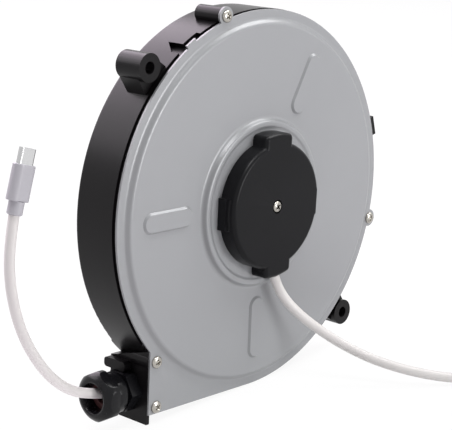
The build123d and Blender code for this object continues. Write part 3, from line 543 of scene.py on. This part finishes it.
def cord_curve(name: str, points: list[Point], diameter: float) -> bpy.types.Object:
    """Make a cord as one smooth spline whose control points are its route.

    Args:
        name: The piece's name.
        points: The route.
        diameter: The cord's diameter.

    Returns:
        The curve's object.
    """
    curve = bpy.data.curves.new(name, "CURVE")
    curve.dimensions = "3D"
    spline = curve.splines.new("NURBS")
    spline.points.add(len(points) - 1)
    for control, point in zip(spline.points, points):
        control.co = (*point, 1.0)
    spline.order_u = CORD_ORDER
    spline.use_endpoint_u = True
    curve.resolution_u = CORD_STEPS
    curve.bevel_depth = diameter / 2
    curve.bevel_resolution = CORD_ROUNDING
    curve.use_fill_caps = True
    return new_object(name, curve)


class Cut(Enum):
    """The side of a cutter on which a piece is cut away."""

    INSIDE = "DIFFERENCE"
    OUTSIDE = "INTERSECT"


def start_alone() -> None:
    """Deselect everything before a new primitive is added."""
    bpy.ops.object.select_all(action="DESELECT")


def take_up(piece: bpy.types.Object) -> None:
    """Select a piece alone, and make it the active one.

    Args:
        piece: The piece.
    """
    start_alone()
    piece.select_set(True)
    bpy.context.view_layer.objects.active = piece


def pick_faces(piece: bpy.types.Object, wanted: Callable[[bpy.types.MeshPolygon], bool]) -> None:
    """Select faces of the piece in edit mode, and no others.

    Args:
        piece: The piece in edit mode.
        wanted: Says whether a face is one of them.
    """
    bpy.ops.mesh.select_mode(type="FACE")
    bpy.ops.mesh.select_all(action="DESELECT")
    bpy.ops.object.mode_set(mode="OBJECT")
    for face in piece.data.polygons:
        face.select = wanted(face)
    bpy.ops.object.mode_set(mode="EDIT")


def put_down(piece: bpy.types.Object, place: Matrix) -> None:
    """Move a piece's mesh to its place and leave its object at the origin.

    Args:
        piece: The piece.
        place: The place as a matrix.
    """
    take_up(piece)
    piece.matrix_world = place
    bpy.ops.object.transform_apply(location=True, rotation=True, scale=True)


def grow(rise: float, ratio: float, height: float) -> None:
    """Draw what is selected out along Z and resize its end.

    Args:
        rise: How far it is drawn out.
        ratio: The end's width over the start's.
        height: The end's height.
    """
    bpy.ops.mesh.extrude_region_move(TRANSFORM_OT_translate={"value": (0, 0, rise)})
    bpy.ops.transform.resize(value=(ratio, ratio, 1), center_override=(0, 0, height))


def cut_away(piece: bpy.types.Object, cutter: bpy.types.Object, side: Cut) -> None:
    """Cut a piece with another object, which is then removed.

    Args:
        piece: The piece.
        cutter: The other object.
        side: The side of the cutter on which the piece is cut away.
    """
    take_up(piece)
    cutting = piece.modifiers.new("cut", "BOOLEAN")
    cutting.operation = side.value
    cutting.solver = "EXACT"
    cutting.object = cutter
    bpy.ops.object.modifier_apply(modifier=cutting.name)
    bpy.data.objects.remove(cutter)


def soften(piece: bpy.types.Object, width: float, sharp: float, smooth: float) -> None:
    """Round the sharp edges of the active piece and shade the rest smooth.

    Args:
        piece: The piece.
        width: Width of the rounding.
        sharp: Angle from which an edge is rounded.
        smooth: Angle up to which an edge is shaded smooth.
    """
    rounding = piece.modifiers.new("edges", "BEVEL")
    rounding.width = width
    rounding.segments = EDGE_STEPS
    rounding.limit_method = "ANGLE"
    rounding.angle_limit = sharp
    bpy.ops.object.modifier_apply(modifier=rounding.name)
    bpy.ops.object.shade_smooth_by_angle(angle=smooth)


@dataclass
class ChargingLead:
    """The lead that comes out of the gland and stands up to its oval plug.

    Args:
        diameter: The lead's diameter.
        depth: Where it lies along Y.
        length: Its length from inside the gland to the plug; not used.
        route: X and height over the floor of its control points, in millimetres.
    """

    diameter: float = 4.6 * MM
    depth: float = 12.4 * MM
    length: float = 0.133
    route: Pairs = (
        (-65.6, 14.0),
        (-78.1, 14.4),
        (-90.6, 17.3),
        (-102.5, 21.8),
        (-113.4, 30.2),
        (-122.6, 42.2),
        (-129.6, 56.0),
        (-133.6, 71.0),
        (-134.7, 84.0),
        (-133.4, 96.2),
        (-131.0, 106.3),
    )

    def build(self) -> None:
        """Lay the lead and dress its plug."""
        points = [(x * MM, self.depth, FLOOR_HEIGHT + height * MM) for x, height in self.route]
        lead = cord_curve("charging_lead", points, self.diameter)
        add_piece(lead, [WHITE_SHEATH], "white_cord", "output_cord")
        self.dress_plug()

    def dress_plug(self) -> None:
        """Dress the nodes of the plug."""
        dress("lead_plug_collar", WHITE_MOULD)
        dress("lead_plug_overmould", WHITE_MOULD)
        dress("lead_plug_shell", PLUG_STEEL)
        dress("lead_plug_insert", PLUG_CORE)


@dataclass
class SupplyLead:
    """The lead that runs from the hub cap over the floor to a tied coil and its flat plug.

    Args:
        diameter: The lead's diameter.
        length: Its whole length; not used.
        points_per_turn: Number of control points in a turn of the coil.
        coil_radius: Radius of the coil's middle turn.
        coil_lift: Room for the tie under the coil.
        cross_angle: How much of a turn the lead takes to move over to the next one.
        route: X, Y and height over the floor of the control points up to the coil, in millimetres.
        let_go: The angle at which the lead leaves the coil.
        tail: X from the coil's middle, Y from where the lead leaves it and height over the floor of the
            last control points, in millimetres.
    """

    diameter: float = 4.6 * MM
    length: float = 0.86
    points_per_turn: int = 20
    coil_radius: float = 26.0 * MM
    coil_lift: float = 0.9 * MM
    cross_angle: float = math.radians(60)
    route: tuple[Point, ...] = (
        (0.7, -8.4, 63.9),
        (3.6, -8.4, 53.0),
        (7.6, -10.2, 43.0),
        (14.2, -14.4, 33.6),
        (21.8, -21.2, 25.0),
        (29.6, -31.0, 17.0),
        (36.8, -45.0, 10.9),
        (48.0, -60.5, 6.0),
        (61.5, -74.0, 2.9),
        (77.5, -88.5, 2.9),
        (91.5, -104.3, 3.2),
    )
    let_go: float = math.radians(-90)
    tail: tuple[Point, ...] = (
        (12.0, 0.3, 6.8),
        (24.0, 1.4, 4.9),
        (34.6, 3.0, 4.0),
    )

    def build(self) -> None:
        """Lay the lead and dress its tie and plug."""
        points = self.points()
        lead = cord_curve("supply_lead", points, self.diameter)
        add_piece(lead, [WHITE_SHEATH], "white_cord", "input_cord", "input_coil", "input_tail")
        dress("coil_tie", TIE_BLACK)
        dress("supply_plug_overmould", WHITE_MOULD)
        dress("supply_plug_shell", PLUG_STEEL)
        dress("supply_plug_insert", PLUG_CORE)

    def points(self) -> list[Point]:
        """The route with the coil's turns between its run over the floor and its tail.

        Returns:
            Every control point of the lead.
        """
        run = [Vector((x * MM, y * MM, FLOOR_HEIGHT + height * MM)) for x, y, height in self.route]
        heading = (run[-1] - run[-2]).xy.normalized()
        side = Vector((-heading.y, heading.x))
        middle = run[-1].xy + side * (self.coil_radius + self.diameter)
        start = math.atan2(-side.y, -side.x)
        turns = self.coil_points(middle, start)
        edge = middle.y - self.coil_radius - self.diameter / 2
        end = [
            (middle.x + along * MM, edge + across * MM, FLOOR_HEIGHT + height * MM)
            for along, across, height in self.tail
        ]
        return [tuple(point) for point in run[:-1]] + turns + end

    def coil_points(self, middle: Vector, start: float) -> list[Point]:
        """Control points of three turns below and the rest on top of them.

        Args:
            middle: The coil's middle, in plan.
            start: The angle at which the lead reaches the coil.

        Returns:
            The turns' points, in order.
        """
        low = FLOOR_HEIGHT + self.coil_lift + self.diameter / 2
        high = low + self.diameter * math.sqrt(3) / 2
        pitch = self.diameter
        rings = (
            (self.coil_radius + pitch, low),
            (self.coil_radius, low),
            (self.coil_radius - pitch, low),
            (self.coil_radius - pitch / 2, high),
            (self.coil_radius + pitch / 2, high),
        )
        step = 2 * math.pi / self.points_per_turn
        swell = 1 / math.cos(step / 2)
        last_turn = (self.let_go - start) % (2 * math.pi) / (2 * math.pi)
        count = int((len(rings) - 1 + last_turn) * self.points_per_turn)
        points = []
        for index in range(count):
            turn, share = divmod(index / self.points_per_turn, 1.0)
            crossing = max(0.0, (share - 1) * 2 * math.pi / self.cross_angle + 1)
            ease = crossing * crossing * (3 - 2 * crossing)
            here = rings[int(turn)]
            after = rings[min(int(turn) + 1, len(rings) - 1)]
            radius = (here[0] + (after[0] - here[0]) * ease) * swell
            height = here[1] + (after[1] - here[1]) * ease
            angle = start + index * step
            points.append((middle.x + radius * math.cos(angle), middle.y + radius * math.sin(angle), height))
        return points


@dataclass
class PanScrew:
    """A screw with a domed head, a tapered cross recess and a pointed shank, along +Z from its seat.

    Args:
        head_radius: Radius of the head.
        head_height: Height of the head.
        shank_radius: Radius of the shank.
        shank_length: Length of the shank with its point.
        point_length: Length of the point.
        point_share: Width of the point's end over the shank's.
        sides: Number of the round's sides.
        dome: Height and radius of the head's edges, as shares of the head's own.
        recess_length: Length of a slot of the cross.
        recess_width: Width of a slot.
        recess_depth: Depth of a slot.
        recess_taper: Size of a slot's foot over its mouth's.
        recess_top: Share of the head's height under which the recess is painted dark as shade.
        edge: Width of the rounded edges.
        edge_angle: Angle from which an edge is rounded.
        smooth_angle: Angle up to which an edge is shaded smooth.
    """

    head_radius: float
    head_height: float = 1.5 * MM
    shank_radius: float = 1.4 * MM
    shank_length: float = 9.0 * MM
    point_length: float = 1.6 * MM
    point_share: float = 0.35
    sides: int = 48
    dome: Pairs = (
        (0.30, 1.0),
        (0.62, 0.95),
        (0.84, 0.82),
        (0.96, 0.62),
        (1.0, 0.42),
    )
    recess_length: float = 3.9 * MM
    recess_width: float = 1.0 * MM
    recess_depth: float = 1.1 * MM
    recess_taper: float = 0.6
    recess_top: float = 0.9
    edge: float = 0.07 * MM
    edge_angle: float = math.radians(40)
    smooth_angle: float = math.radians(35)

    def build(self, name: str) -> bpy.types.Object:
        """Model the screw.

        Args:
            name: The screw's name.

        Returns:
            The screw, with its seat at the origin.
        """
        start_alone()
        bpy.ops.mesh.primitive_circle_add(vertices=self.sides, radius=self.head_radius, fill_type="NGON")
        screw = bpy.context.object
        screw.name = name
        bpy.ops.object.mode_set(mode="EDIT")
        bpy.ops.mesh.select_all(action="SELECT")
        height, share = 0.0, 1.0
        for rise, width in self.dome:
            grow(rise * self.head_height - height, width / share, rise * self.head_height)
            height, share = rise * self.head_height, width
        pick_faces(screw, lambda face: abs(face.center.z) < self.edge and abs(face.normal.z) > UPRIGHT)
        bpy.ops.mesh.inset(thickness=self.head_radius - self.shank_radius)
        straight = self.shank_length - self.point_length
        grow(-straight, 1.0, -straight)
        grow(-self.point_length, self.point_share, -self.shank_length)
        bpy.ops.mesh.select_all(action="SELECT")
        bpy.ops.mesh.normals_make_consistent(inside=False)
        bpy.ops.object.mode_set(mode="OBJECT")
        for turn in (0.0, math.pi / 2):
            self.cut_slot(screw, turn)
        soften(screw, self.edge, self.edge_angle, self.smooth_angle)
        self.paint_recess_shade(screw)
        return screw

    def cut_slot(self, screw: bpy.types.Object, turn: float) -> None:
        """Cut one tapered slot of the cross into the head.

        Args:
            screw: The screw.
            turn: The slot's angle.
        """
        start_alone()
        bpy.ops.mesh.primitive_cube_add(size=1, location=(0, 0, self.head_height))
        cutter = bpy.context.object
        cutter.scale = (self.recess_length, self.recess_width, 2 * self.recess_depth)
        cutter.rotation_euler = (0, 0, turn)
        bpy.ops.object.transform_apply(location=True, rotation=True, scale=True)
        bpy.ops.object.mode_set(mode="EDIT")
        pick_faces(cutter, lambda face: face.normal.z < -UPRIGHT)
        foot = (0, 0, self.head_height - self.recess_depth)
        bpy.ops.transform.resize(value=(self.recess_taper, self.recess_taper, 1), center_override=foot)
        bpy.ops.object.mode_set(mode="OBJECT")
        cut_away(screw, cutter, Cut.INSIDE)

    def paint_recess_shade(self, screw: bpy.types.Object) -> None:
        """Paint shade into the cross: the faces down in it get the second finish, a near-black metal.

        Args:
            screw: The screw.
        """
        for _ in SCREW_FINISHES:
            screw.data.materials.append(None)
        for face in screw.data.polygons:
            inside = face.center.xy.length < self.recess_length / 2
            face.material_index = int(inside and 0 < face.center.z < self.recess_top * self.head_height)


def screw_place(seat: Point, twist: float) -> Matrix:
    """Place of a screw that looks out along -Y.

    Args:
        seat: The middle of its seat, in millimetres.
        twist: How far its cross is turned, in degrees.

    Returns:
        The place as a matrix.
    """
    turn = Matrix.Rotation(math.pi / 2, 4, "X") @ Matrix.Rotation(math.radians(twist), 4, "Z")
    return Matrix.Translation(Vector(seat) * MM) @ turn


@dataclass
class Casing:
    """The moulded casing, its pressed cover and the screws of the cover.

    Args:
        screw_radius: Radius of the screws' heads.
        screw_seat: Where the heads sit along Y, in millimetres.
        screw_places: X and Z of each screw, in millimetres, and the turn of its cross, in degrees.
    """

    screw_radius: float = 2.8 * MM
    screw_seat: float = -1.0
    screw_places: tuple[Point, ...] = (
        (-66.436, -80.401, 38.0),
        (-65.663, -59.557, 12.0),
        (84.631, -25.188, 67.0),
        (-20.347, 87.259, 25.0),
    )

    def build(self) -> None:
        """Dress the casing and set the screws."""
        dress("rear_housing", BLACK_CASING)
        dress("front_cover", GREY_COVER)
        self.build_screws()

    def build_screws(self) -> None:
        """Model one screw, copy it to the four places and join the copies."""
        first = PanScrew(self.screw_radius).build("cover_screw")
        copies = []
        for x, z, twist in self.screw_places:
            copy = new_object("cover_screw", first.data.copy())
            put_down(copy, screw_place((x, self.screw_seat, z), twist))
            copies.append(copy)
        bpy.data.objects.remove(first)
        start_alone()
        for copy in copies:
            copy.select_set(True)
        bpy.context.view_layer.objects.active = copies[0]
        bpy.ops.object.join()
        copies[0].name = "cover_screw_set"
        add_piece(copies[0], SCREW_FINISHES, "nickel", "cover_screws")


@dataclass
class Hub:
    """The hub cap with its screw and the supply lead's grommet.

    Args:
        screw_radius: Radius of the screw's head.
        screw_seat: Where the head sits, in millimetres.
        screw_twist: The turn of its cross, in degrees.
        flat_reach: Distance of the cap's flat from the reel's axis.
        seam: Distance within which the corners of the node's triangles are one.
        flatness: Angle within which faces lie in one plane.
        smooth_angle: Angle up to which an edge is shaded smooth.
    """

    screw_radius: float = 2.6 * MM
    screw_seat: Point = (0.0, -12.7, 0.0)
    screw_twist: float = 30.0
    flat_reach: float = 27.7 * MM
    seam: float = 0.002 * MM
    flatness: float = math.radians(0.5)
    smooth_angle: float = math.radians(30)

    def build(self) -> None:
        """Trim the cap, dress the hub and set its screw."""
        self.build_cap()
        dress("inlet_grommet", SEAL_RUBBER)
        screw = PanScrew(self.screw_radius).build("hub_cap_screw")
        put_down(screw, screw_place(self.screw_seat, self.screw_twist))
        add_piece(screw, SCREW_FINISHES, "nickel", "hub_screw")

    def build_cap(self) -> None:
        """Trim a copy of the cap to the flat at its right side."""
        cap = new_object("hub_cap_cover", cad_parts["hub_cap"].data.copy())
        take_up(cap)
        across = Vector((math.cos(LEAN), 0, -math.sin(LEAN)))
        flat = across * self.flat_reach
        bpy.ops.object.mode_set(mode="EDIT")
        bpy.ops.mesh.select_all(action="SELECT")
        bpy.ops.mesh.remove_doubles(threshold=self.seam)
        bpy.ops.mesh.bisect(plane_co=flat, plane_no=across, use_fill=True, clear_outer=True)
        bpy.ops.mesh.select_all(action="SELECT")
        bpy.ops.mesh.dissolve_limited(angle_limit=self.flatness)
        bpy.ops.object.mode_set(mode="OBJECT")
        bpy.ops.object.shade_smooth_by_angle(angle=self.smooth_angle)
        weighting = cap.modifiers.new("weighting", "WEIGHTED_NORMAL")
        weighting.keep_sharp = True
        bpy.ops.object.modifier_apply(modifier=weighting.name)
        add_piece(cap, [CAP_BLACK], "cap_black", "hub_cap")


@dataclass
class Gland:
    """The gland that lets the charging lead out, with a domed nut before a collar.

    A profile gives the distance from the end wall and the radius of each edge, in millimetres. It starts
    inside the rear face and closes there.

    Args:
        wall: Where the gland's axis leaves the end wall, in millimetres.
        sides: Number of the round's sides.
        nut_profile: Edges of the nut.
        nut_across: Distance across the nut's flats, in millimetres.
        collar_profile: Edges of the collar.
        collar_across: Distance across the collar's flats, in millimetres.
        prism_depth: Length of the prism that cuts the flats.
        seam: Distance within which the two ends of a profile are one.
        edge: Width of the rounded edges.
        edge_angle: Angle from which an edge is rounded.
        smooth_angle: Angle up to which an edge is shaded smooth.
    """

    wall: Point = (-70.62, 12.4, -74.02)
    sides: int = 96
    nut_profile: Pairs = (
        (14.2, 7.6),
        (14.2, 11.0),
        (14.6, 11.5),
        (17.4, 11.5),
        (18.6, 11.2),
        (19.7, 10.5),
        (20.6, 9.5),
        (21.2, 8.5),
        (21.4, 7.6),
        (21.2, 6.9),
        (20.3, 6.5),
        (17.6, 6.2),
        (15.45, 6.1),
        (15.45, 7.6),
    )
    nut_across: float = 20.9
    collar_profile: Pairs = (
        (8.2, 7.6),
        (8.2, 8.8),
        (8.8, 9.5),
        (12.9, 9.5),
        (13.5, 9.1),
        (14.15, 9.1),
        (14.15, 7.6),
    )
    collar_across: float = 18.4
    prism_depth: float = 100.0 * MM
    seam: float = 0.025 * MM
    edge: float = 0.25 * MM
    edge_angle: float = math.radians(28)
    smooth_angle: float = math.radians(30)

    def build(self) -> None:
        """Model the nut and its collar, and dress the gland."""
        dress("gland_body", GLAND_BLACK)
        dress("gland_seal", SEAL_RUBBER)
        outwards = Vector((-math.cos(LEAN), 0, math.sin(LEAN)))
        aim = outwards.to_track_quat("Z", "Y").to_matrix().to_4x4()
        place = Matrix.Translation(Vector(self.wall) * MM) @ aim
        for name, profile, across in (
            ("gland_nut_dome", self.nut_profile, self.nut_across),
            ("gland_nut_collar", self.collar_profile, self.collar_across),
        ):
            piece = self.turn(name, profile)
            self.cut_flats(piece, across)
            put_down(piece, place)
            add_piece(piece, [GLAND_BLACK], "gland_black", "gland_nut")

    def turn(self, name: str, profile: Pairs) -> bpy.types.Object:
        """Draw a ring out along its profile.

        Args:
            name: The piece's name.
            profile: Distance along Z and radius of each of its edges.

        Returns:
            The closed ring.
        """
        start_alone()
        rise, radius = profile[0]
        bpy.ops.mesh.primitive_circle_add(
            vertices=self.sides, radius=radius * MM, fill_type="NOTHING", location=(0, 0, rise * MM)
        )
        piece = bpy.context.object
        piece.name = name
        bpy.ops.object.transform_apply(location=True)
        bpy.ops.object.mode_set(mode="EDIT")
        bpy.ops.mesh.select_mode(type="EDGE")
        bpy.ops.mesh.select_all(action="SELECT")
        for next_rise, next_radius in (*profile[1:], profile[0]):
            grow((next_rise - rise) * MM, next_radius / radius, next_rise * MM)
            rise, radius = next_rise, next_radius
        bpy.ops.mesh.select_all(action="SELECT")
        bpy.ops.mesh.remove_doubles(threshold=self.seam)
        bpy.ops.mesh.normals_make_consistent(inside=False)
        bpy.ops.object.mode_set(mode="OBJECT")
        return piece

    def cut_flats(self, piece: bpy.types.Object, across: float) -> None:
        """Cut six flats on a ring and round their edges.

        Args:
            piece: The ring.
            across: Distance across the flats, in millimetres.
        """
        start_alone()
        reach = across / math.sqrt(3) * MM
        bpy.ops.mesh.primitive_cylinder_add(vertices=6, radius=reach, depth=self.prism_depth)
        cut_away(piece, bpy.context.object, Cut.OUTSIDE)
        soften(piece, self.edge, self.edge_angle, self.smooth_angle)


@dataclass
class Mechanism:
    """The spool, its shaft, spring, latch and rotary contact inside the casing."""

    finishes: tuple[tuple[str, Finish], ...] = (
        ("centre_shaft", SHAFT_STEEL),
        ("shaft_screw", BRIGHT_NICKEL),
        ("thrust_washer", SHAFT_STEEL),
        ("retaining_ring", SPRING_STEEL),
        ("spool", SPOOL_GREY),
        ("spool_front_flange", SPOOL_GREY),
        ("rear_bush", BUSH_BRONZE),
        ("front_bush", BUSH_BRONZE),
        ("mainspring", SPRING_STEEL),
        ("wound_cable", WHITE_SHEATH),
        ("lead_in", WHITE_SHEATH),
        ("pawl", SHAFT_STEEL),
        ("pawl_pin", SHAFT_STEEL),
        ("pawl_spring", SPRING_STEEL),
        ("slip_ring_board", BOARD_GREEN),
        ("slip_ring_tracks", TRACK_BRASS),
        ("brush_block", CAP_BLACK),
        ("brush_pins", TRACK_BRASS),
    )

    def build(self) -> None:
        """Dress the pieces inside."""
        for node, finish in self.finishes:
            dress(node, finish)


@dataclass
class Lamp:
    """A soft box.

    Args:
        name: Its name.
        place: Where it stands.
        target: What it looks at.
        width: The side of its square.
        power: Its power in watts.
        colour: Its colour.
    """

    name: str
    place: Point
    target: Point
    width: float
    power: float
    colour: Colour = (1.0, 1.0, 1.0)

    def build(self) -> None:
        """Hang the soft box."""
        light = bpy.data.lights.new(self.name, "AREA")
        light.size = self.width
        light.energy = self.power
        light.color = self.colour
        lamp = new_object(self.name, light)
        lamp.location = self.place
        aim = Vector(self.target) - Vector(self.place)
        lamp.rotation_euler = aim.to_track_quat("-Z", "Y").to_euler()


@dataclass
class Studio:
    """The floor, the light and the camera at the photograph's angle.

    Args:
        azimuth: The camera's angle about Z, from straight before the cover.
        elevation: The camera's angle over the floor's plane.
        distance: How far the camera stands from its target.
        target: What the camera looks at.
        lens: The camera's focal length, in millimetres.
        floor_side: Side of the floor's square.
        floor_colour: The floor's colour.
        floor_shown: How far the floor is shown white, as a share.
        sky_colour: Colour of the even light.
        sky_strength: Strength of the even light.
        lamps: The soft boxes.
    """

    azimuth: float = math.radians(-47.276)
    elevation: float = math.radians(15.753)
    distance: float = 0.6864
    target: Point = (-0.01964, 0.0, -0.00241)
    lens: float = 121.7
    floor_side: float = 12.0
    floor_colour: Colour = (0.86, 0.86, 0.86)
    floor_shown: float = 0.92
    sky_colour: Colour = (0.98, 0.97, 1.0)
    sky_strength: float = 0.30
    lamps: tuple[Lamp, ...] = (
        Lamp("back_box", (0.1, 0.95, 0.85), (0.0, 0.0, 0.0), 1.1, 22.0, (1.0, 0.88, 1.0)),
        Lamp("left_box", (-0.7, 1.0, 0.8), (0.0, 0.0, 0.0), 0.7, 6.5, (1.0, 0.94, 1.0)),
        Lamp("key_box", (-0.2, -0.27, 1.15), (0.0, 0.0, 0.0), 0.5, 9.0),
        Lamp("top_box", (0.75, -0.25, 0.95), (0.0, 0.0, 0.0), 0.6, 9.0),
        Lamp("front_box", (0.3, -1.0, 0.08), (0.03, 0.0, -0.04), 0.4, 5.4),
    )

    def build(self) -> None:
        """Set up the studio."""
        self.build_camera()
        self.build_floor()
        self.build_sky()
        for lamp in self.lamps:
            lamp.build()
        bpy.context.scene.view_settings.view_transform = "Standard"

    def build_camera(self) -> None:
        """Stand the camera where the photograph was taken from."""
        camera = bpy.data.cameras.new("camera")
        camera.lens = self.lens
        camera.sensor_fit = "HORIZONTAL"
        holder = new_object("camera", camera)
        flat = math.cos(self.elevation)
        back = Vector(
            (math.sin(self.azimuth) * flat, -math.cos(self.azimuth) * flat, math.sin(self.elevation))
        )
        holder.location = Vector(self.target) + back * self.distance
        holder.rotation_euler = (-back).to_track_quat("-Z", "Y").to_euler()
        bpy.context.scene.camera = holder

    def build_floor(self) -> None:
        """Lay a plain pale floor."""
        start_alone()
        bpy.ops.mesh.primitive_plane_add(size=self.floor_side, location=(0, 0, FLOOR_HEIGHT))
        floor = bpy.context.object
        floor.name = "floor"
        finish = bpy.data.materials.new("floor_finish")
        net = ShaderNet(finish)
        plain = net.node("ShaderNodeBsdfDiffuse", {}, {"Color": (*self.floor_colour, 1.0)})
        white = net.node("ShaderNodeEmission", {}, {"Strength": 1.0})
        shown = net.in_view() * self.floor_shown
        net.close(net.node("ShaderNodeMixShader", {}, {0: shown, 1: plain, 2: white}))
        floor.data.materials.append(finish)

    def build_sky(self) -> None:
        """Fill the room with even light, and show it white."""
        world = bpy.data.worlds.new("studio")
        net = ShaderNet(world)
        grey = {"Color": (*self.sky_colour, 1.0), "Strength": self.sky_strength}
        light = net.node("ShaderNodeBackground", {}, grey)
        white = net.node("ShaderNodeBackground", {}, {"Color": (1.0, 1.0, 1.0, 1.0), "Strength": 1.0})
        shown = net.node("ShaderNodeMixShader", {}, {0: net.in_view(), 1: light, 2: white})
        net.close(shown, "ShaderNodeOutputWorld")
        bpy.context.scene.world = world


def main() -> None:
    """Build every part of the scene in order."""
    logging.basicConfig(level=logging.INFO)
    for part in (Studio(), ChargingLead(), SupplyLead(), Casing(), Hub(), Gland(), Mechanism()):
        part.build()
        log.info("%s is built", type(part).__name__)


if __name__ == "__main__":
    main()
